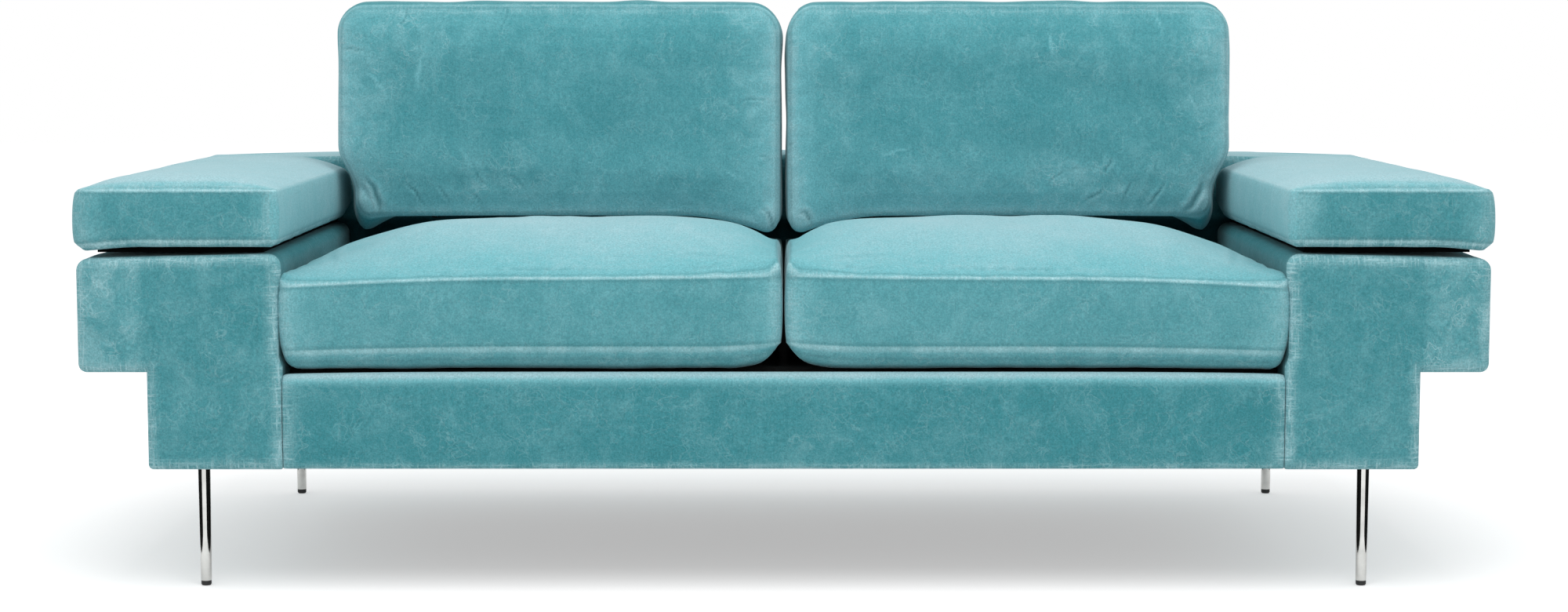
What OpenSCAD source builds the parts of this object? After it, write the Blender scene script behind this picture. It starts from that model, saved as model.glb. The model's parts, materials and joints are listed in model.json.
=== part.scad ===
// Two-seat sofa: stepped upholstered arms with floating pads, a low back,
// four loose cushions and slim metal legs. Millimetres, the front faces -Y,
// the floor is z = 0 and the middle is x = 0. Depths run back from the front.

/* [Overall] */
// Width over the arm pads
sofa_w = 1930; // [1910:2:1960]
// Depth from the front of the pads to the back
sofa_d = 914; // [900:1:940]
// Height of the underside above the floor
base_z = 173.5; // [150:0.5:200]
// Clear width between the arms
seat_w = 1372; // [1360:2:1376]

/* [Arms] */
// Width of the lower part of an arm
pillar_w = 179; // [160:1:200]
// Width of the upper part of an arm
arm_w = 275; // [260:1:276]
// Height of the overhanging part's underside
step_z = 307; // [290:1:330]
// Height of the arm under its pad
arm_top_z = 468; // [455:1:480]
// Height of the dark gap under a pad
plinth_h = 8; // [6:1:12]
// Width of a pad
pad_w = 273; // [255:1:275]
// Height of a pad between its seams
pad_boxing = 67; // [55:1:75]
// Rise of a pad's top above its seam
pad_crown = 19; // [4:1:22]

/* [Back] */
// Depth of the back frame, front to back
back_t = 220; // [200:1:230]
// Height of the back frame's top at its ends
back_top_z = 560; // [550:1:575]
// Rise of the back frame's top towards its middle
back_rise = 9; // [0:1:12]

/* [Seat cushions] */
// Width and depth of a seat cushion at its widest
seat_cushion = 682; // [670:1:684]
// Height of a seat cushion between its seams
seat_boxing = 99; // [80:1:110]
// Rise of a seat cushion's top above its seam
seat_crown = 58; // [30:1:62]
// Depth of the curve below a seat cushion's lower seam
seat_belly = 33; // [20:1:36]

/* [Back cushions] */
// Width of a back cushion at its widest
back_cushion_w = 680; // [660:1:682]
// Height of a back cushion along its lean
back_cushion_h = 338; // [320:1:360]
// Thickness of a back cushion between its seams
back_boxing = 150; // [120:1:150]
// Rise of a back cushion's front
back_crown = 34; // [15:1:40]
// Angle at which a back cushion leans
back_lean = 5; // [3:0.5:6]

/* [Legs] */
// Distance of each leg from the middle
leg_x = 805; // [780:1:830]
// Distance of the front legs behind the front
leg_front = 62; // [50:1:90]
// Distance of the rear legs behind the front
leg_rear = 852; // [800:1:870]
// Diameter at a leg's top
leg_top_d = 17; // [14:0.5:22]
// Diameter at a leg's foot
leg_foot_d = 15; // [12:0.5:17]

/* [Inner frame] */
// Thickness of padding and fabric on the frame
wall = 16; // [12:1:18]
// Thickness of the boards
board = 18; // [15:1:20]
// Thickness of the seat rails
rail = 25; // [20:1:28]
// Number of zigzag springs
springs = 8; // [6:2:10]
// Bends in each spring
spring_bends = 17; // [13:2:21]
// Thickness of the spring wire
wire_d = 4; // [3:0.1:4.5]

/* [Hidden] */
$fn = 48;

fabric = "#4f939a";
pale_fabric = "#84b9bf";
chrome = "#c9ccd0";
steel = "#8d9196";
ply = "#c9a877";
pine = "#d9bd8c";
black = "#1d1d1f";

// Fine clearances
slack = 0.5;
bore_slack = 0.4;
bolt_d = 8;
pad_screw_t = 6;
plate_screw_t = 4;
plate_screw_l = 14;
tiny = 0.01;

// Places across the sofa
inner_x = seat_w / 2;
pillar_x = inner_x + pillar_w;
arm_x = inner_x + arm_w;
back_x = arm_x - 4;
pad_x = sofa_w / 2 - pad_w / 2;

// Depths and heights
back_d = sofa_d - back_t;
lip = 4.5;
floor_z = base_z + lip;
seat_rail_top = 293;
clip_rail_top = 286;
deck_top = 306;
plinth_z = arm_top_z + plinth_h;
pad_drop = 8;
pad_l = back_d - 4;
bolt_z = 240;
front_set = 4;
rail_d = front_set + wall;
deck_front = 64;

// Steps along the sides and round the corners of soft outlines
side_steps = 7;
corner_steps = 5;
bend_steps = 5;

function at(depth) = depth - sofa_d / 2;
function unit(v) = v / norm(v);
function left_of(v) = [-v[1], v[0]];
function spin(p, a) = [p[0] * cos(a) - p[1] * sin(a), p[0] * sin(a) + p[1] * cos(a)];
function flat(p) = [p[0], p[1]];

// One corner [x, y, radius] of an anticlockwise outline whose edges are moved inward by inset
function corner_points(before, here, after, inset) =
    here[2] == 0
    ? [flat(here) + inset * left_of(unit(flat(after) - flat(before)))]
    : let (
        a = unit(flat(here) - flat(before)),
        b = unit(flat(after) - flat(here)),
        turn = atan2(a[0] * b[1] - a[1] * b[0], a * b),
        radius = max(here[2] - sign(turn) * inset, 0.5),
        corner = flat(here) + inset * (left_of(a) + left_of(b)) / (1 + a * b),
        start = corner - radius * tan(abs(turn) / 2) * a,
        centre = start + sign(turn) * radius * left_of(a)
    )
    [for (i = [0:bend_steps]) centre + spin(start - centre, turn * i / bend_steps)];

function rounded(corners, inset) = [
    for (i = [0:len(corners) - 1])
        each corner_points(
            corners[(i + len(corners) - 1) % len(corners)], corners[i],
            corners[(i + 1) % len(corners)], inset
        )
];

// Side faces between rings of n points, where ring 0 is lowest and each runs anticlockwise
function side_faces(n, rings) = [
    for (k = [0:rings - 2], i = [0:n - 1])
        let (a = k * n + i, b = k * n + (i + 1) % n)
        each [[a, a + n, b + n], [a, b + n, b]]
];

// A solid skinned over rings of points, closed with a flat face at each end
module skinned(rings) {
    n = len(rings[0]);
    last = (len(rings) - 1) * n;
    polyhedron(
        points = [for (r = rings) each r],
        faces = concat(
            side_faces(n, len(rings)),
            [[for (i = [0:n - 1]) i]],
            [[for (i = [n - 1:-1:0]) last + i]]
        ),
        convexity = 6
    );
}

// The same with a point at each end, for a crowned panel
module domed(rings, low, high) {
    n = len(rings[0]);
    last = (len(rings) - 1) * n;
    base = len(rings) * n;
    polyhedron(
        points = concat([for (r = rings) each r], [low, high]),
        faces = concat(
            side_faces(n, len(rings)),
            [for (i = [0:n - 1]) [base, i, (i + 1) % n]],
            [for (i = [0:n - 1]) [base + 1, last + (i + 1) % n, last + i]]
        ),
        convexity = 4
    );
}

function quarter(p, q) =
    q == 0 ? p : q == 1 ? [-p[1], p[0]] : q == 2 ? [-p[0], -p[1]] : [p[1], -p[0]];

// Rectangle of w by d with radii from the near right corner on, anticlockwise
function soft_outline(w, d, radii) = [
    for (q = [0:3])
        let (
            l = q % 2 == 0 ? w : d,
            a = q % 2 == 0 ? d : w,
            from = radii[(q + 3) % 4],
            to = radii[q]
        )
        each concat(
            [for (i = [0:side_steps - 1])
                quarter([from - l / 2 + (l - from - to) * i / side_steps, -a / 2], q)],
            [for (i = [0:corner_steps - 1])
                let (t = 90 * i / corner_steps)
                quarter([l / 2 - to + to * sin(t), to - a / 2 - to * cos(t)], q)]
        )
];

// A boxed cushion of size [w, d, height between seams] with its lower seam at z = 0.
// The boxing swells, the seams draw in between the corners, crown(u, v) lifts the top
// at the scales in panel, belly is a list of [scale, drop] under the lower seam and dip(u, v)
// lowers the seams; u and v run from -1 to 1.
module boxed_cushion(size, radii, swell, draw, crown, panel, belly, dip) {
    w = size[0];
    d = size[1];
    function place(p, s, z) =
        let (
            u = 2 * p[0] / w,
            v = 2 * p[1] / d,
            x = p[0] * (1 - 2 * draw / w * (1 - min(v * v, 1))) * s,
            y = p[1] * (1 - 2 * draw / d * (1 - min(u * u, 1))) * s
        )
        [x, y, z - dip(u * s, v * s) * min(1, 1 + z / belly[0][1])];
    function top(s) = [
        for (p = soft_outline(w, d, radii)) place(p, s, size[2] + crown(2 * p[0] * s / w, 2 * p[1] * s / d))
    ];
    function level(grow, z) = [
        for (p = soft_outline(w + 2 * grow, d + 2 * grow, [for (r = radii) r + grow])) place(p, 1, z)
    ];
    under = [for (b = belly) [for (p = soft_outline(w, d, radii)) place(p, b[0], -b[1])]];
    boxing = [for (t = [0, 0.25, 0.75, 1]) level(swell * 4 * t * (1 - t), size[2] * t)];
    domed(
        concat(under, boxing, [for (s = panel) top(s)]),
        [0, 0, -belly[0][1]],
        [0, 0, size[2] + crown(0, 0)]
    );
}

// Outer shape of an arm in front view, and the space for its frame
arm_corners = [
    [inner_x, base_z, 5], [pillar_x, base_z, 7], [pillar_x, step_z, 3],
    [arm_x, step_z, 12], [arm_x, arm_top_z, 21], [inner_x, arm_top_z, 12]
];

module arm_space() {
    polygon([
        [inner_x + wall, floor_z], [pillar_x - wall, floor_z],
        [pillar_x - wall, step_z + wall], [arm_x - wall, step_z + wall],
        [arm_x - wall, arm_top_z - wall], [inner_x + wall, arm_top_z - wall]
    ]);
}

// Extrudes a front-view outline from one depth to another
module along_depth(from, to) {
    translate([0, at(to), 0]) rotate([90, 0, 0]) linear_extrude(to - from) children();
}

module block(x, depth, z) {
    translate([x[0], at(depth[0]), z[0]])
        cube([x[1] - x[0], depth[1] - depth[0], z[1] - z[0]]);
}

module both_sides() {
    children();
    mirror([1, 0, 0]) children();
}

// Clearance hole for a fastener of thickness d, from height z up
module bore(z, h, d) {
    translate([0, 0, z]) cylinder(h = h, d = d + bore_slack);
}

pad_screw_edge = 60;
pad_screw_x = [inner_x + pad_screw_edge, arm_x - pad_screw_edge];
pad_screw_d = [110, 580];
module at_pad_screws() {
    for (x = pad_screw_x, d = pad_screw_d) translate([x, at(d), 0]) children();
}

arm_bolt_d = [150, 370, back_d - 110];
module at_arm_bolts() {
    for (d = arm_bolt_d) translate([inner_x - rail, at(d), bolt_z]) rotate([0, 90, 0]) children();
}

back_bolt_x = [-480, -160, 160, 480];
module at_back_bolts() {
    for (x = back_bolt_x) translate([x, at(back_d - rail), bolt_z]) rotate([-90, 0, 0]) children();
}

link_bolt_edge = 60;
link_bolt_z = [230, 270];
module at_link_bolts() {
    for (z = link_bolt_z)
        translate([pillar_x - link_bolt_edge, at(back_d - board), z]) rotate([-90, 0, 0]) children();
}

module at_leg(right, rear) {
    translate([right ? leg_x : -leg_x, at(rear ? leg_rear : leg_front), 0]) children();
}

module at_legs() {
    for (right = [false, true], rear = [false, true]) at_leg(right, rear) children();
}

// Board that fills the opening in an arm's inner padding, where the seat rail bolts on
bolt_board_d = [60, back_d - board - 16];
bolt_board_z = [190, 280];
module bolt_board(grow) {
    block([inner_x - grow, inner_x + wall + grow], bolt_board_d, bolt_board_z);
}

// Padding and fabric of an arm: puffed front, open behind, under and where the seat rail meets it
hem = 10;
module arm_cover() {
    front = [[13, 0], [7, 1.2], [4, 3.5], [2, 9], [0.5, 22], [0, 48]];
    past_end = 2;
    rings = [
        for (f = concat([[back_d + past_end, 0]], front))
            [for (p = rounded(arm_corners, f[1])) [p[0], at(f[0]), p[1]]]
    ];
    color(fabric) difference() {
        skinned(rings);
        block([0, sofa_w], [back_d, sofa_d], [0, back_top_z]);
        along_depth(wall, back_d + 1) arm_space();
        block(
            [inner_x + wall + hem, pillar_x - wall - hem], [wall + hem, back_d + 1],
            [base_z - 1, floor_z + 1]
        );
        bolt_board(1);
        at_pad_screws() bore(arm_top_z - wall - 1, wall + 2, pad_screw_t);
    }
}

// Boards of an arm: two stepped ends joined by a base, a top and inner rails
module arm_frame() {
    inner_rail_z = [200, 275];
    ends = [[wall, wall + board], [back_d - board, back_d]];
    span = [wall + board, back_d - board];
    color(ply) difference() {
        union() {
            for (e = ends) along_depth(e[0], e[1]) arm_space();
            block([inner_x + wall, pillar_x - wall], span, [floor_z, floor_z + board]);
            block([inner_x + wall, arm_x - wall], span, [arm_top_z - wall - board, arm_top_z - wall]);
            block([inner_x + wall, inner_x + wall + board], span, inner_rail_z);
            bolt_board(0);
            block([pillar_x - wall - board, arm_x - wall], span, [step_z + wall, step_z + wall + board]);
        }
        at_leg(true, false) bore(floor_z - 1, board + 2, stud_d);
        at_plate_screws(true, false) bore(floor_z - 1, plate_screw_l + 1, plate_screw_t);
        at_pad_screws() bore(arm_top_z - wall - board - 1, board + 2, pad_screw_t);
        at_arm_bolts() bore(0, rail + wall + board + 1, bolt_d);
        at_link_bolts() bore(-1, board + 2, bolt_d);
    }
}

// Black spacer that makes the gap under a pad
plinth_inset = 24;
module plinth() {
    color(black) difference() {
        block(
            [inner_x + plinth_inset, arm_x - plinth_inset], [plinth_inset, back_d - plinth_inset],
            [arm_top_z, plinth_z]
        );
        at_pad_screws() bore(arm_top_z - 1, plinth_h + 2, pad_screw_t);
    }
}

pad_board_t = 12;
pad_board_inset = 30;
module pad_board_shape() {
    block(
        [pad_x - pad_w / 2 + pad_board_inset, pad_x + pad_w / 2 - pad_board_inset],
        [pad_board_inset, pad_l - pad_board_inset], [plinth_z, plinth_z + pad_board_t]
    );
}

// Crowned pad of an arm, crisp on its inner front edge and rounder at the rear
module arm_pad() {
    swell = 2;
    size = [pad_w - 2 * swell, pad_l - 2 * swell, pad_boxing];
    crown = function (u, v) pad_crown * (1 - abs(u) ^ 5.5) * (1 - abs(v) ^ 10);
    color(pale_fabric) difference() {
        translate([pad_x, at(pad_l / 2), plinth_z + pad_drop]) boxed_cushion(
            size, [16, 26, 34, 4], swell, 1.5, crown, [0.98, 0.92, 0.75, 0.45],
            [[0.93, pad_drop], [0.985, 4]], function (u, v) 0
        );
        pad_board_shape();
    }
}

module pad_board() {
    color(ply) difference() {
        pad_board_shape();
        at_pad_screws() bore(plinth_z - 1, 9, pad_screw_t);
    }
}

module pad_screws() {
    shank = wall + board + plinth_h + 7;
    color(steel) both_sides() at_pad_screws() translate([0, 0, arm_top_z - wall - board]) {
        cylinder(h = shank, d = pad_screw_t);
        translate([0, 0, -4]) cylinder(h = 4, d = 13);
    }
}

// Outer shape of the low back in front view
back_corners = concat(
    [
        [-pillar_x, base_z, 7], [pillar_x, base_z, 7], [pillar_x, step_z, 3],
        [back_x, step_z, 12], [back_x, back_top_z, 20]
    ],
    [for (x = [3:-1:-3]) [x * 250, back_top_z, 0]],
    [[-back_x, back_top_z, 20], [-back_x, step_z, 12], [-pillar_x, step_z, 3]]
);

module back_space() {
    half = back_x - wall;
    foot = pillar_x - wall;
    polygon([
        [-foot, floor_z], [foot, floor_z], [foot, step_z + wall], [half, step_z + wall],
        [half, back_top_z - wall], [-half, back_top_z - wall],
        [-half, step_z + wall], [-foot, step_z + wall]
    ]);
}

// Padding and fabric of the back, open under and where the seat and arms bolt to it
back_board_top = 296;
module back_cover() {
    function lift(p) =
        p[1] > back_top_z - 40 ? back_rise * (1 - (abs(p[0]) / back_x) ^ 4.5) : 0;
    rear = [[sofa_d, 24], [sofa_d - 1.5, 10], [sofa_d - 5, 3.5], [sofa_d - 13, 0]];
    front = [[back_d + 13, 0], [back_d + 4, 3], [back_d, 10]];
    rings = [
        for (f = concat(rear, front))
            [for (p = rounded(back_corners, f[1])) [p[0], at(f[0]), p[1] + lift(p)]]
    ];
    color(fabric) difference() {
        skinned(rings);
        along_depth(back_d + wall, sofa_d - wall) back_space();
        block(
            [wall - pillar_x, pillar_x - wall], [back_d - 1, back_d + wall + 1],
            [floor_z, back_board_top]
        );
        block(
            [wall + hem - pillar_x, pillar_x - wall - hem], [back_d + wall, sofa_d - wall - hem],
            [base_z - 1, floor_z + 1]
        );
    }
}

// Boards of the back: a front board for the bolts, a base, a top, uprights and wing boards
module back_frame() {
    half = back_x - wall;
    foot = pillar_x - wall;
    post_x = 280;
    inside = [back_d + wall + web_t, sofa_d - wall];
    top = back_top_z - wall;
    color(pine) difference() {
        union() {
            block([-foot, foot], [back_d, back_d + wall + web_t], [floor_z, back_board_top]);
            block([-foot, foot], inside, [floor_z, floor_z + board]);
            block([-half, half], inside, [top - board, top]);
            for (x = [-foot, -board / 2 - post_x, -board / 2 + post_x, foot - board])
                block([x, x + board], inside, [floor_z + board, top - board]);
            both_sides() {
                block([foot, half], inside, [step_z + wall, step_z + wall + board]);
                block([half - board, half], inside, [step_z + wall + board, top - board]);
            }
        }
        for (right = [false, true]) {
            at_leg(right, true) bore(floor_z - 1, board + 2, stud_d);
            at_plate_screws(right, true) bore(floor_z - 1, plate_screw_l + 1, plate_screw_t);
        }
        at_back_bolts() bore(0, rail + board + 1, bolt_d);
        both_sides() at_link_bolts() bore(0, 2 * board + 1, bolt_d);
    }
}

// Elastic strips that the back cushions lean on, stretched over the uprights
web_t = 2;
web_w = 50;
module back_webbing() {
    half = back_x - wall;
    color(black) for (z = [330, 400, 470])
        block([-half, half], [back_d + wall, back_d + wall + web_t], [z, z + web_w]);
}

// Padding and fabric over the front rail, rounded where it meets the arms
module front_rail_cover() {
    half = inner_x - slack;
    low = base_z + 1;
    high = 302;
    face = front_set;
    behind = deck_front;
    round_end = 12;
    profile = [
        [face, high, 13], [face, low, 6], [face + wall + 24, low, 0], [face + wall + 24, floor_z, 0],
        [face + wall, floor_z, 0], [face + wall, seat_rail_top + 1, 0],
        [behind, seat_rail_top + 1, 0], [behind, high, 0]
    ];
    crown_h = 22;
    function lift(p, x) =
        p[0] < behind ? 3.5 * (1 - (abs(x) / half) ^ 6) * max(0, 1 - (high - p[1]) / crown_h) : 0;
    function ends(x) =
        half - abs(x) < round_end ? 1 - sqrt(1 - (1 - (half - abs(x)) / round_end) ^ 2) : 0;
    function shaped(p, x) =
        let (outside = p[0] < face + wall - 1, top = p[1] > high - 4)
        [x, at(p[0] + (outside ? 4 * ends(x) : 0)), p[1] + lift(p, x) - (top ? 3 * ends(x) : 0)];
    near_end = [for (e = [0, 1.5, 5, round_end]) half - e];
    stations = concat(
        [for (x = near_end) -x], [for (i = [-2:2]) i * 250],
        [for (i = [3:-1:0]) near_end[i]]
    );
    color(fabric) skinned([for (x = stations) [for (p = rounded(profile, 0)) shaped(p, x)]]);
}

module seat_front_rail() {
    color(pine) block([-inner_x, inner_x], [rail_d, rail_d + rail], [floor_z, clip_rail_top]);
}

module seat_back_rail() {
    color(pine) difference() {
        block([-inner_x, inner_x], [back_d - rail, back_d], [floor_z, clip_rail_top]);
        at_back_bolts() bore(-1, rail + 2, bolt_d);
    }
}

module seat_side_rail() {
    color(pine) difference() {
        block([inner_x - rail, inner_x], [rail_d + rail, back_d - rail], [floor_z, seat_rail_top]);
        at_arm_bolts() bore(-1, rail + 2, bolt_d);
    }
}

// Middle stretcher, dished so that the springs can sink
module seat_stretcher() {
    length = back_d - rail_d - 2 * rail;
    height = 90;
    dish = 35;
    dish_r = 1000;
    color(pine) translate([-rail / 2, at(rail_d + rail), floor_z]) difference() {
        cube([rail, length, height]);
        translate([-1, length / 2, height + dish_r - dish]) rotate([0, 90, 0])
            cylinder(h = rail + 2, r = dish_r, $fn = 96);
    }
}

module corner_blocks() {
    side = 70;
    height = 60;
    low = 205;
    color(ply) both_sides() {
        translate([inner_x - rail, at(rail_d + rail), low]) linear_extrude(height)
            polygon([[0, 0], [0, side], [-side, 0]]);
        translate([inner_x - rail, at(back_d - rail), low]) linear_extrude(height)
            polygon([[0, 0], [-side, 0], [0, -side]]);
    }
}

spring_edge = 20;
spring_pitch = (seat_w - 2 * rail - 2 * spring_edge) / springs;
spring_from = rail_d + rail / 2;
spring_to = back_d - rail / 2;
spring_step = (spring_to - spring_from) / spring_bends;
spring_half = 24;
spring_end = 14;
spring_z = clip_rail_top + 1.4;

// Edge of the zigzag wire on one side of its middle line: half turns joined by straight lengths
function zigzag(shift) = [
    for (i = [0:spring_bends - 1])
        let (
            side = i % 2 == 0 ? 1 : -1,
            r = spring_step / 2 + side * shift,
            middle = [side * (spring_half - spring_step / 2), (i + 0.5) * spring_step]
        )
        for (k = [0:bend_steps])
            let (t = -90 + 180 * k / bend_steps)
            middle + [side * r * cos(t), r * sin(t)]
];

// One flat zigzag spring, cut from the middle line of its first bend to that of its last
module spring() {
    right = zigzag(wire_d / 2);
    left = zigzag(-wire_d / 2);
    end = spring_to - spring_from;
    translate([0, at(spring_from), spring_z]) linear_extrude(wire_d) polygon(concat(
        [[-spring_end, -wire_d / 2]], right,
        [[-spring_end, end + wire_d / 2], [-spring_end, end - wire_d / 2]],
        [for (i = [len(left) - 1:-1:0]) left[i]], [[-spring_end, wire_d / 2]]
    ));
}

module at_springs() {
    for (i = [0:springs - 1]) translate([(i + 0.5 - springs / 2) * spring_pitch, 0, 0]) children();
}

module seat_springs() {
    color(steel) at_springs() spring();
}

// Folded steel clips that hold the spring ends down on the rails
module spring_clips() {
    clip_w = 14;
    skin = 1.2;
    reach = 16;
    color(steel) at_springs() for (depth = [spring_from, spring_to])
        translate([-clip_w / 2, at(depth), clip_rail_top]) rotate([90, 0, 90]) linear_extrude(clip_w) {
            translate([-reach / 2, 0]) square([reach, skin]);
            translate([-reach / 2, 0]) square([skin, spring_z + wire_d + 0.2 + skin - clip_rail_top]);
            translate([-reach / 2, spring_z + wire_d + 0.2 - clip_rail_top]) square([reach, skin]);
        }
}

// Padded cloth that the seat cushions lie on
module seat_deck() {
    color(black) block([2 - inner_x, inner_x - 2], [deck_front, back_d - 2], [seat_rail_top, deck_top]);
}

// Black cloth under the whole frame, with a round hole for each leg
module dust_cover() {
    edge = 14;
    color(black) difference() {
        block([edge - pillar_x, pillar_x - edge], [rail_d, sofa_d - edge], [base_z - 1.2, base_z]);
        at_legs() translate([0, 0, base_z - 2]) cylinder(h = 3, d = 22);
    }
}

module hex_bolt(length) {
    translate([0, 0, -6.5]) cylinder(h = 5.3, d = 15, $fn = 6);
    translate([0, 0, -1.2]) cylinder(h = 1.2, d = 18);
    cylinder(h = length, d = bolt_d);
}

module frame_bolts() {
    color(steel) {
        both_sides() {
            at_arm_bolts() hex_bolt(rail + wall + board + 4);
            at_link_bolts() hex_bolt(2 * board + 4);
        }
        at_back_bolts() hex_bolt(rail + board + 4);
    }
}

module nut() {
    difference() {
        cylinder(h = 6.5, d = 15, $fn = 6);
        bore(-1, 9, bolt_d);
    }
}

module frame_nuts() {
    color(steel) {
        both_sides() {
            at_arm_bolts() translate([0, 0, rail + wall + board]) nut();
            at_link_bolts() translate([0, 0, 2 * board]) nut();
        }
        at_back_bolts() translate([0, 0, rail + board]) nut();
    }
}

plate_w = 58;
plate_screw = 20;
stud_d = 10;
module at_plate_screws(right, rear) {
    for (x = [-plate_screw, plate_screw], y = [-plate_screw, plate_screw])
        at_leg(right, rear) translate([x, y, 0]) children();
}

module leg_plates() {
    color(steel) for (right = [false, true], rear = [false, true]) difference() {
        at_leg(right, rear) difference() {
            translate([-plate_w / 2, -plate_w / 2, base_z]) cube([plate_w, plate_w, lip]);
            bore(base_z - 1, lip + 2, stud_d);
        }
        at_plate_screws(right, rear) bore(base_z - 1, lip + 2, plate_screw_t);
    }
}

module plate_screws() {
    color(steel) for (right = [false, true], rear = [false, true])
        at_plate_screws(right, rear) translate([0, 0, base_z])
            cylinder(h = lip + plate_screw_l, d = plate_screw_t);
}

// Tapered metal leg with the stud that screws it into its plate
glide_h = 7;
module leg(right, rear) {
    shoulder = base_z - glide_h;
    color(chrome) at_leg(right, rear) {
        translate([0, 0, glide_h]) cylinder(h = shoulder, d1 = leg_foot_d, d2 = leg_top_d);
        translate([0, 0, base_z - tiny]) cylinder(h = lip + board - 4, d = stud_d);
    }
}

module leg_glides() {
    color(black) at_legs() {
        cylinder(h = 2, d1 = leg_foot_d - 3, d2 = leg_foot_d - 0.6);
        translate([0, 0, 2]) cylinder(h = glide_h - 2, d = leg_foot_d - 0.6);
    }
}

// Depth profile of a seat cushion's crown: full in front, pressed down towards the back cushion
function seat_rise(v) =
    let (t = (v + 1) / 2, peak = 0.36)
    t < peak ? 1 - (1 - t / peak) ^ 2.2 : 1 - ((t - peak) / (1 - peak)) ^ 1.15;

soft_panel = [0.985, 0.95, 0.89, 0.8, 0.67, 0.5, 0.3, 0.12];
seat_swell = 3;
seat_dip = 8;
seat_gap = 2;
seat_bottom = deck_top + slack;
zip_w = 14;
zip_t = 1.5;

module seat_cushion() {
    side = seat_cushion - 2 * seat_swell;
    crown = function (u, v) seat_crown * (1 - abs(u) ^ (u > 0 ? 2.6 : 7)) * seat_rise(v);
    dip = function (u, v) seat_dip * max(max(u, 0), max(v, 0)) ^ 3;
    color(pale_fabric) difference() {
        translate([seat_gap + seat_cushion / 2, at(front_set + seat_cushion / 2), seat_bottom + seat_belly])
            boxed_cushion(
                [side, side, seat_boxing], [26, 30, 30, 22], seat_swell, 4, crown, soft_panel,
                [[0.93, seat_belly], [0.965, seat_belly * 0.8], [0.99, seat_belly * 0.35]], dip
            );
        seat_zip_space();
    }
}

seat_zip_x = [seat_gap + 90, seat_gap + seat_cushion - 90];
seat_zip_z = seat_bottom + seat_belly + 40;
seat_zip_d = seat_cushion - seat_swell;

module seat_zip_space() {
    block(seat_zip_x, [seat_zip_d, seat_zip_d + 8], [seat_zip_z, seat_zip_z + zip_w]);
}

// Closed zip with its slider at one end
module seat_zip() {
    color(black) {
        block(
            [seat_zip_x[0] + 1, seat_zip_x[1] - 1], [seat_zip_d, seat_zip_d + zip_t],
            [seat_zip_z + 1, seat_zip_z + zip_w - 1]
        );
        block(
            [seat_zip_x[0] + 10, seat_zip_x[0] + 16], [seat_zip_d + zip_t, seat_zip_d + 2 * zip_t],
            [seat_zip_z + 3, seat_zip_z + zip_w - 3]
        );
    }
}

// Middle of a back cushion, and its loose space at the inner side
back_cushion_z = 639;
back_cushion_d = 605;
back_swell = 3;
back_gap = 2.5;

module at_back_cushion() {
    translate([back_gap + back_cushion_w / 2, at(back_cushion_d), back_cushion_z])
        rotate([90 - back_lean, 0, 0]) translate([0, 0, -back_boxing / 2]) children();
}

module back_cushion() {
    w = back_cushion_w - 2 * back_swell;
    h = back_cushion_h - 2 * back_swell;
    crown = function (u, v) back_crown * (1 - abs(u) ^ 4) * (1 - abs(v) ^ 3.4);
    color(fabric) difference() {
        at_back_cushion() boxed_cushion(
            [w, h, back_boxing], [30, 40, 44, 30], back_swell, 3, crown, soft_panel,
            [[0.5, 14], [0.85, 11], [0.97, 4]], function (u, v) 0
        );
        at_back_cushion() back_zip_strip(1, back_swell + 2);
    }
}

// A strip on the underside of a back cushion: space cuts its groove, and the zip lies in that
module back_zip_strip(margin, height) {
    long = 440;
    base = -back_cushion_h / 2 + back_swell + 2;
    translate([-long / 2 - margin, base - height, back_boxing / 2 - zip_w / 2 - margin])
        cube([long + 2 * margin, height, zip_w + 2 * margin]);
}

module back_zip() {
    color(black) at_back_cushion() back_zip_strip(0, zip_t);
}

module left_arm_cover() { mirror([1, 0, 0]) arm_cover(); }
module right_arm_cover() { arm_cover(); }
module left_arm_frame() { mirror([1, 0, 0]) arm_frame(); }
module right_arm_frame() { arm_frame(); }
module left_plinth() { mirror([1, 0, 0]) plinth(); }
module right_plinth() { plinth(); }
module left_arm_pad() { mirror([1, 0, 0]) arm_pad(); }
module right_arm_pad() { arm_pad(); }
module left_pad_board() { mirror([1, 0, 0]) pad_board(); }
module right_pad_board() { pad_board(); }
module left_seat_rail() { mirror([1, 0, 0]) seat_side_rail(); }
module right_seat_rail() { seat_side_rail(); }
module front_left_leg() { leg(false, false); }
module front_right_leg() { leg(true, false); }
module rear_left_leg() { leg(false, true); }
module rear_right_leg() { leg(true, true); }
module left_seat_cushion() { mirror([1, 0, 0]) seat_cushion(); }
module right_seat_cushion() { seat_cushion(); }
module left_back_cushion() { mirror([1, 0, 0]) back_cushion(); }
module right_back_cushion() { back_cushion(); }
module left_seat_zip() { mirror([1, 0, 0]) seat_zip(); }
module right_seat_zip() { seat_zip(); }
module left_back_zip() { mirror([1, 0, 0]) back_zip(); }
module right_back_zip() { back_zip(); }

left_arm_cover();
right_arm_cover();
left_arm_frame();
right_arm_frame();
left_plinth();
right_plinth();
left_arm_pad();
right_arm_pad();
left_pad_board();
right_pad_board();
pad_screws();
back_cover();
back_frame();
back_webbing();
front_rail_cover();
seat_front_rail();
seat_back_rail();
left_seat_rail();
right_seat_rail();
seat_stretcher();
corner_blocks();
seat_springs();
spring_clips();
seat_deck();
dust_cover();
frame_bolts();
frame_nuts();
leg_plates();
plate_screws();
front_left_leg();
front_right_leg();
rear_left_leg();
rear_right_leg();
leg_glides();
left_seat_cushion();
right_seat_cushion();
left_back_cushion();
right_back_cushion();
left_seat_zip();
right_seat_zip();
left_back_zip();
right_back_zip();
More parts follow.
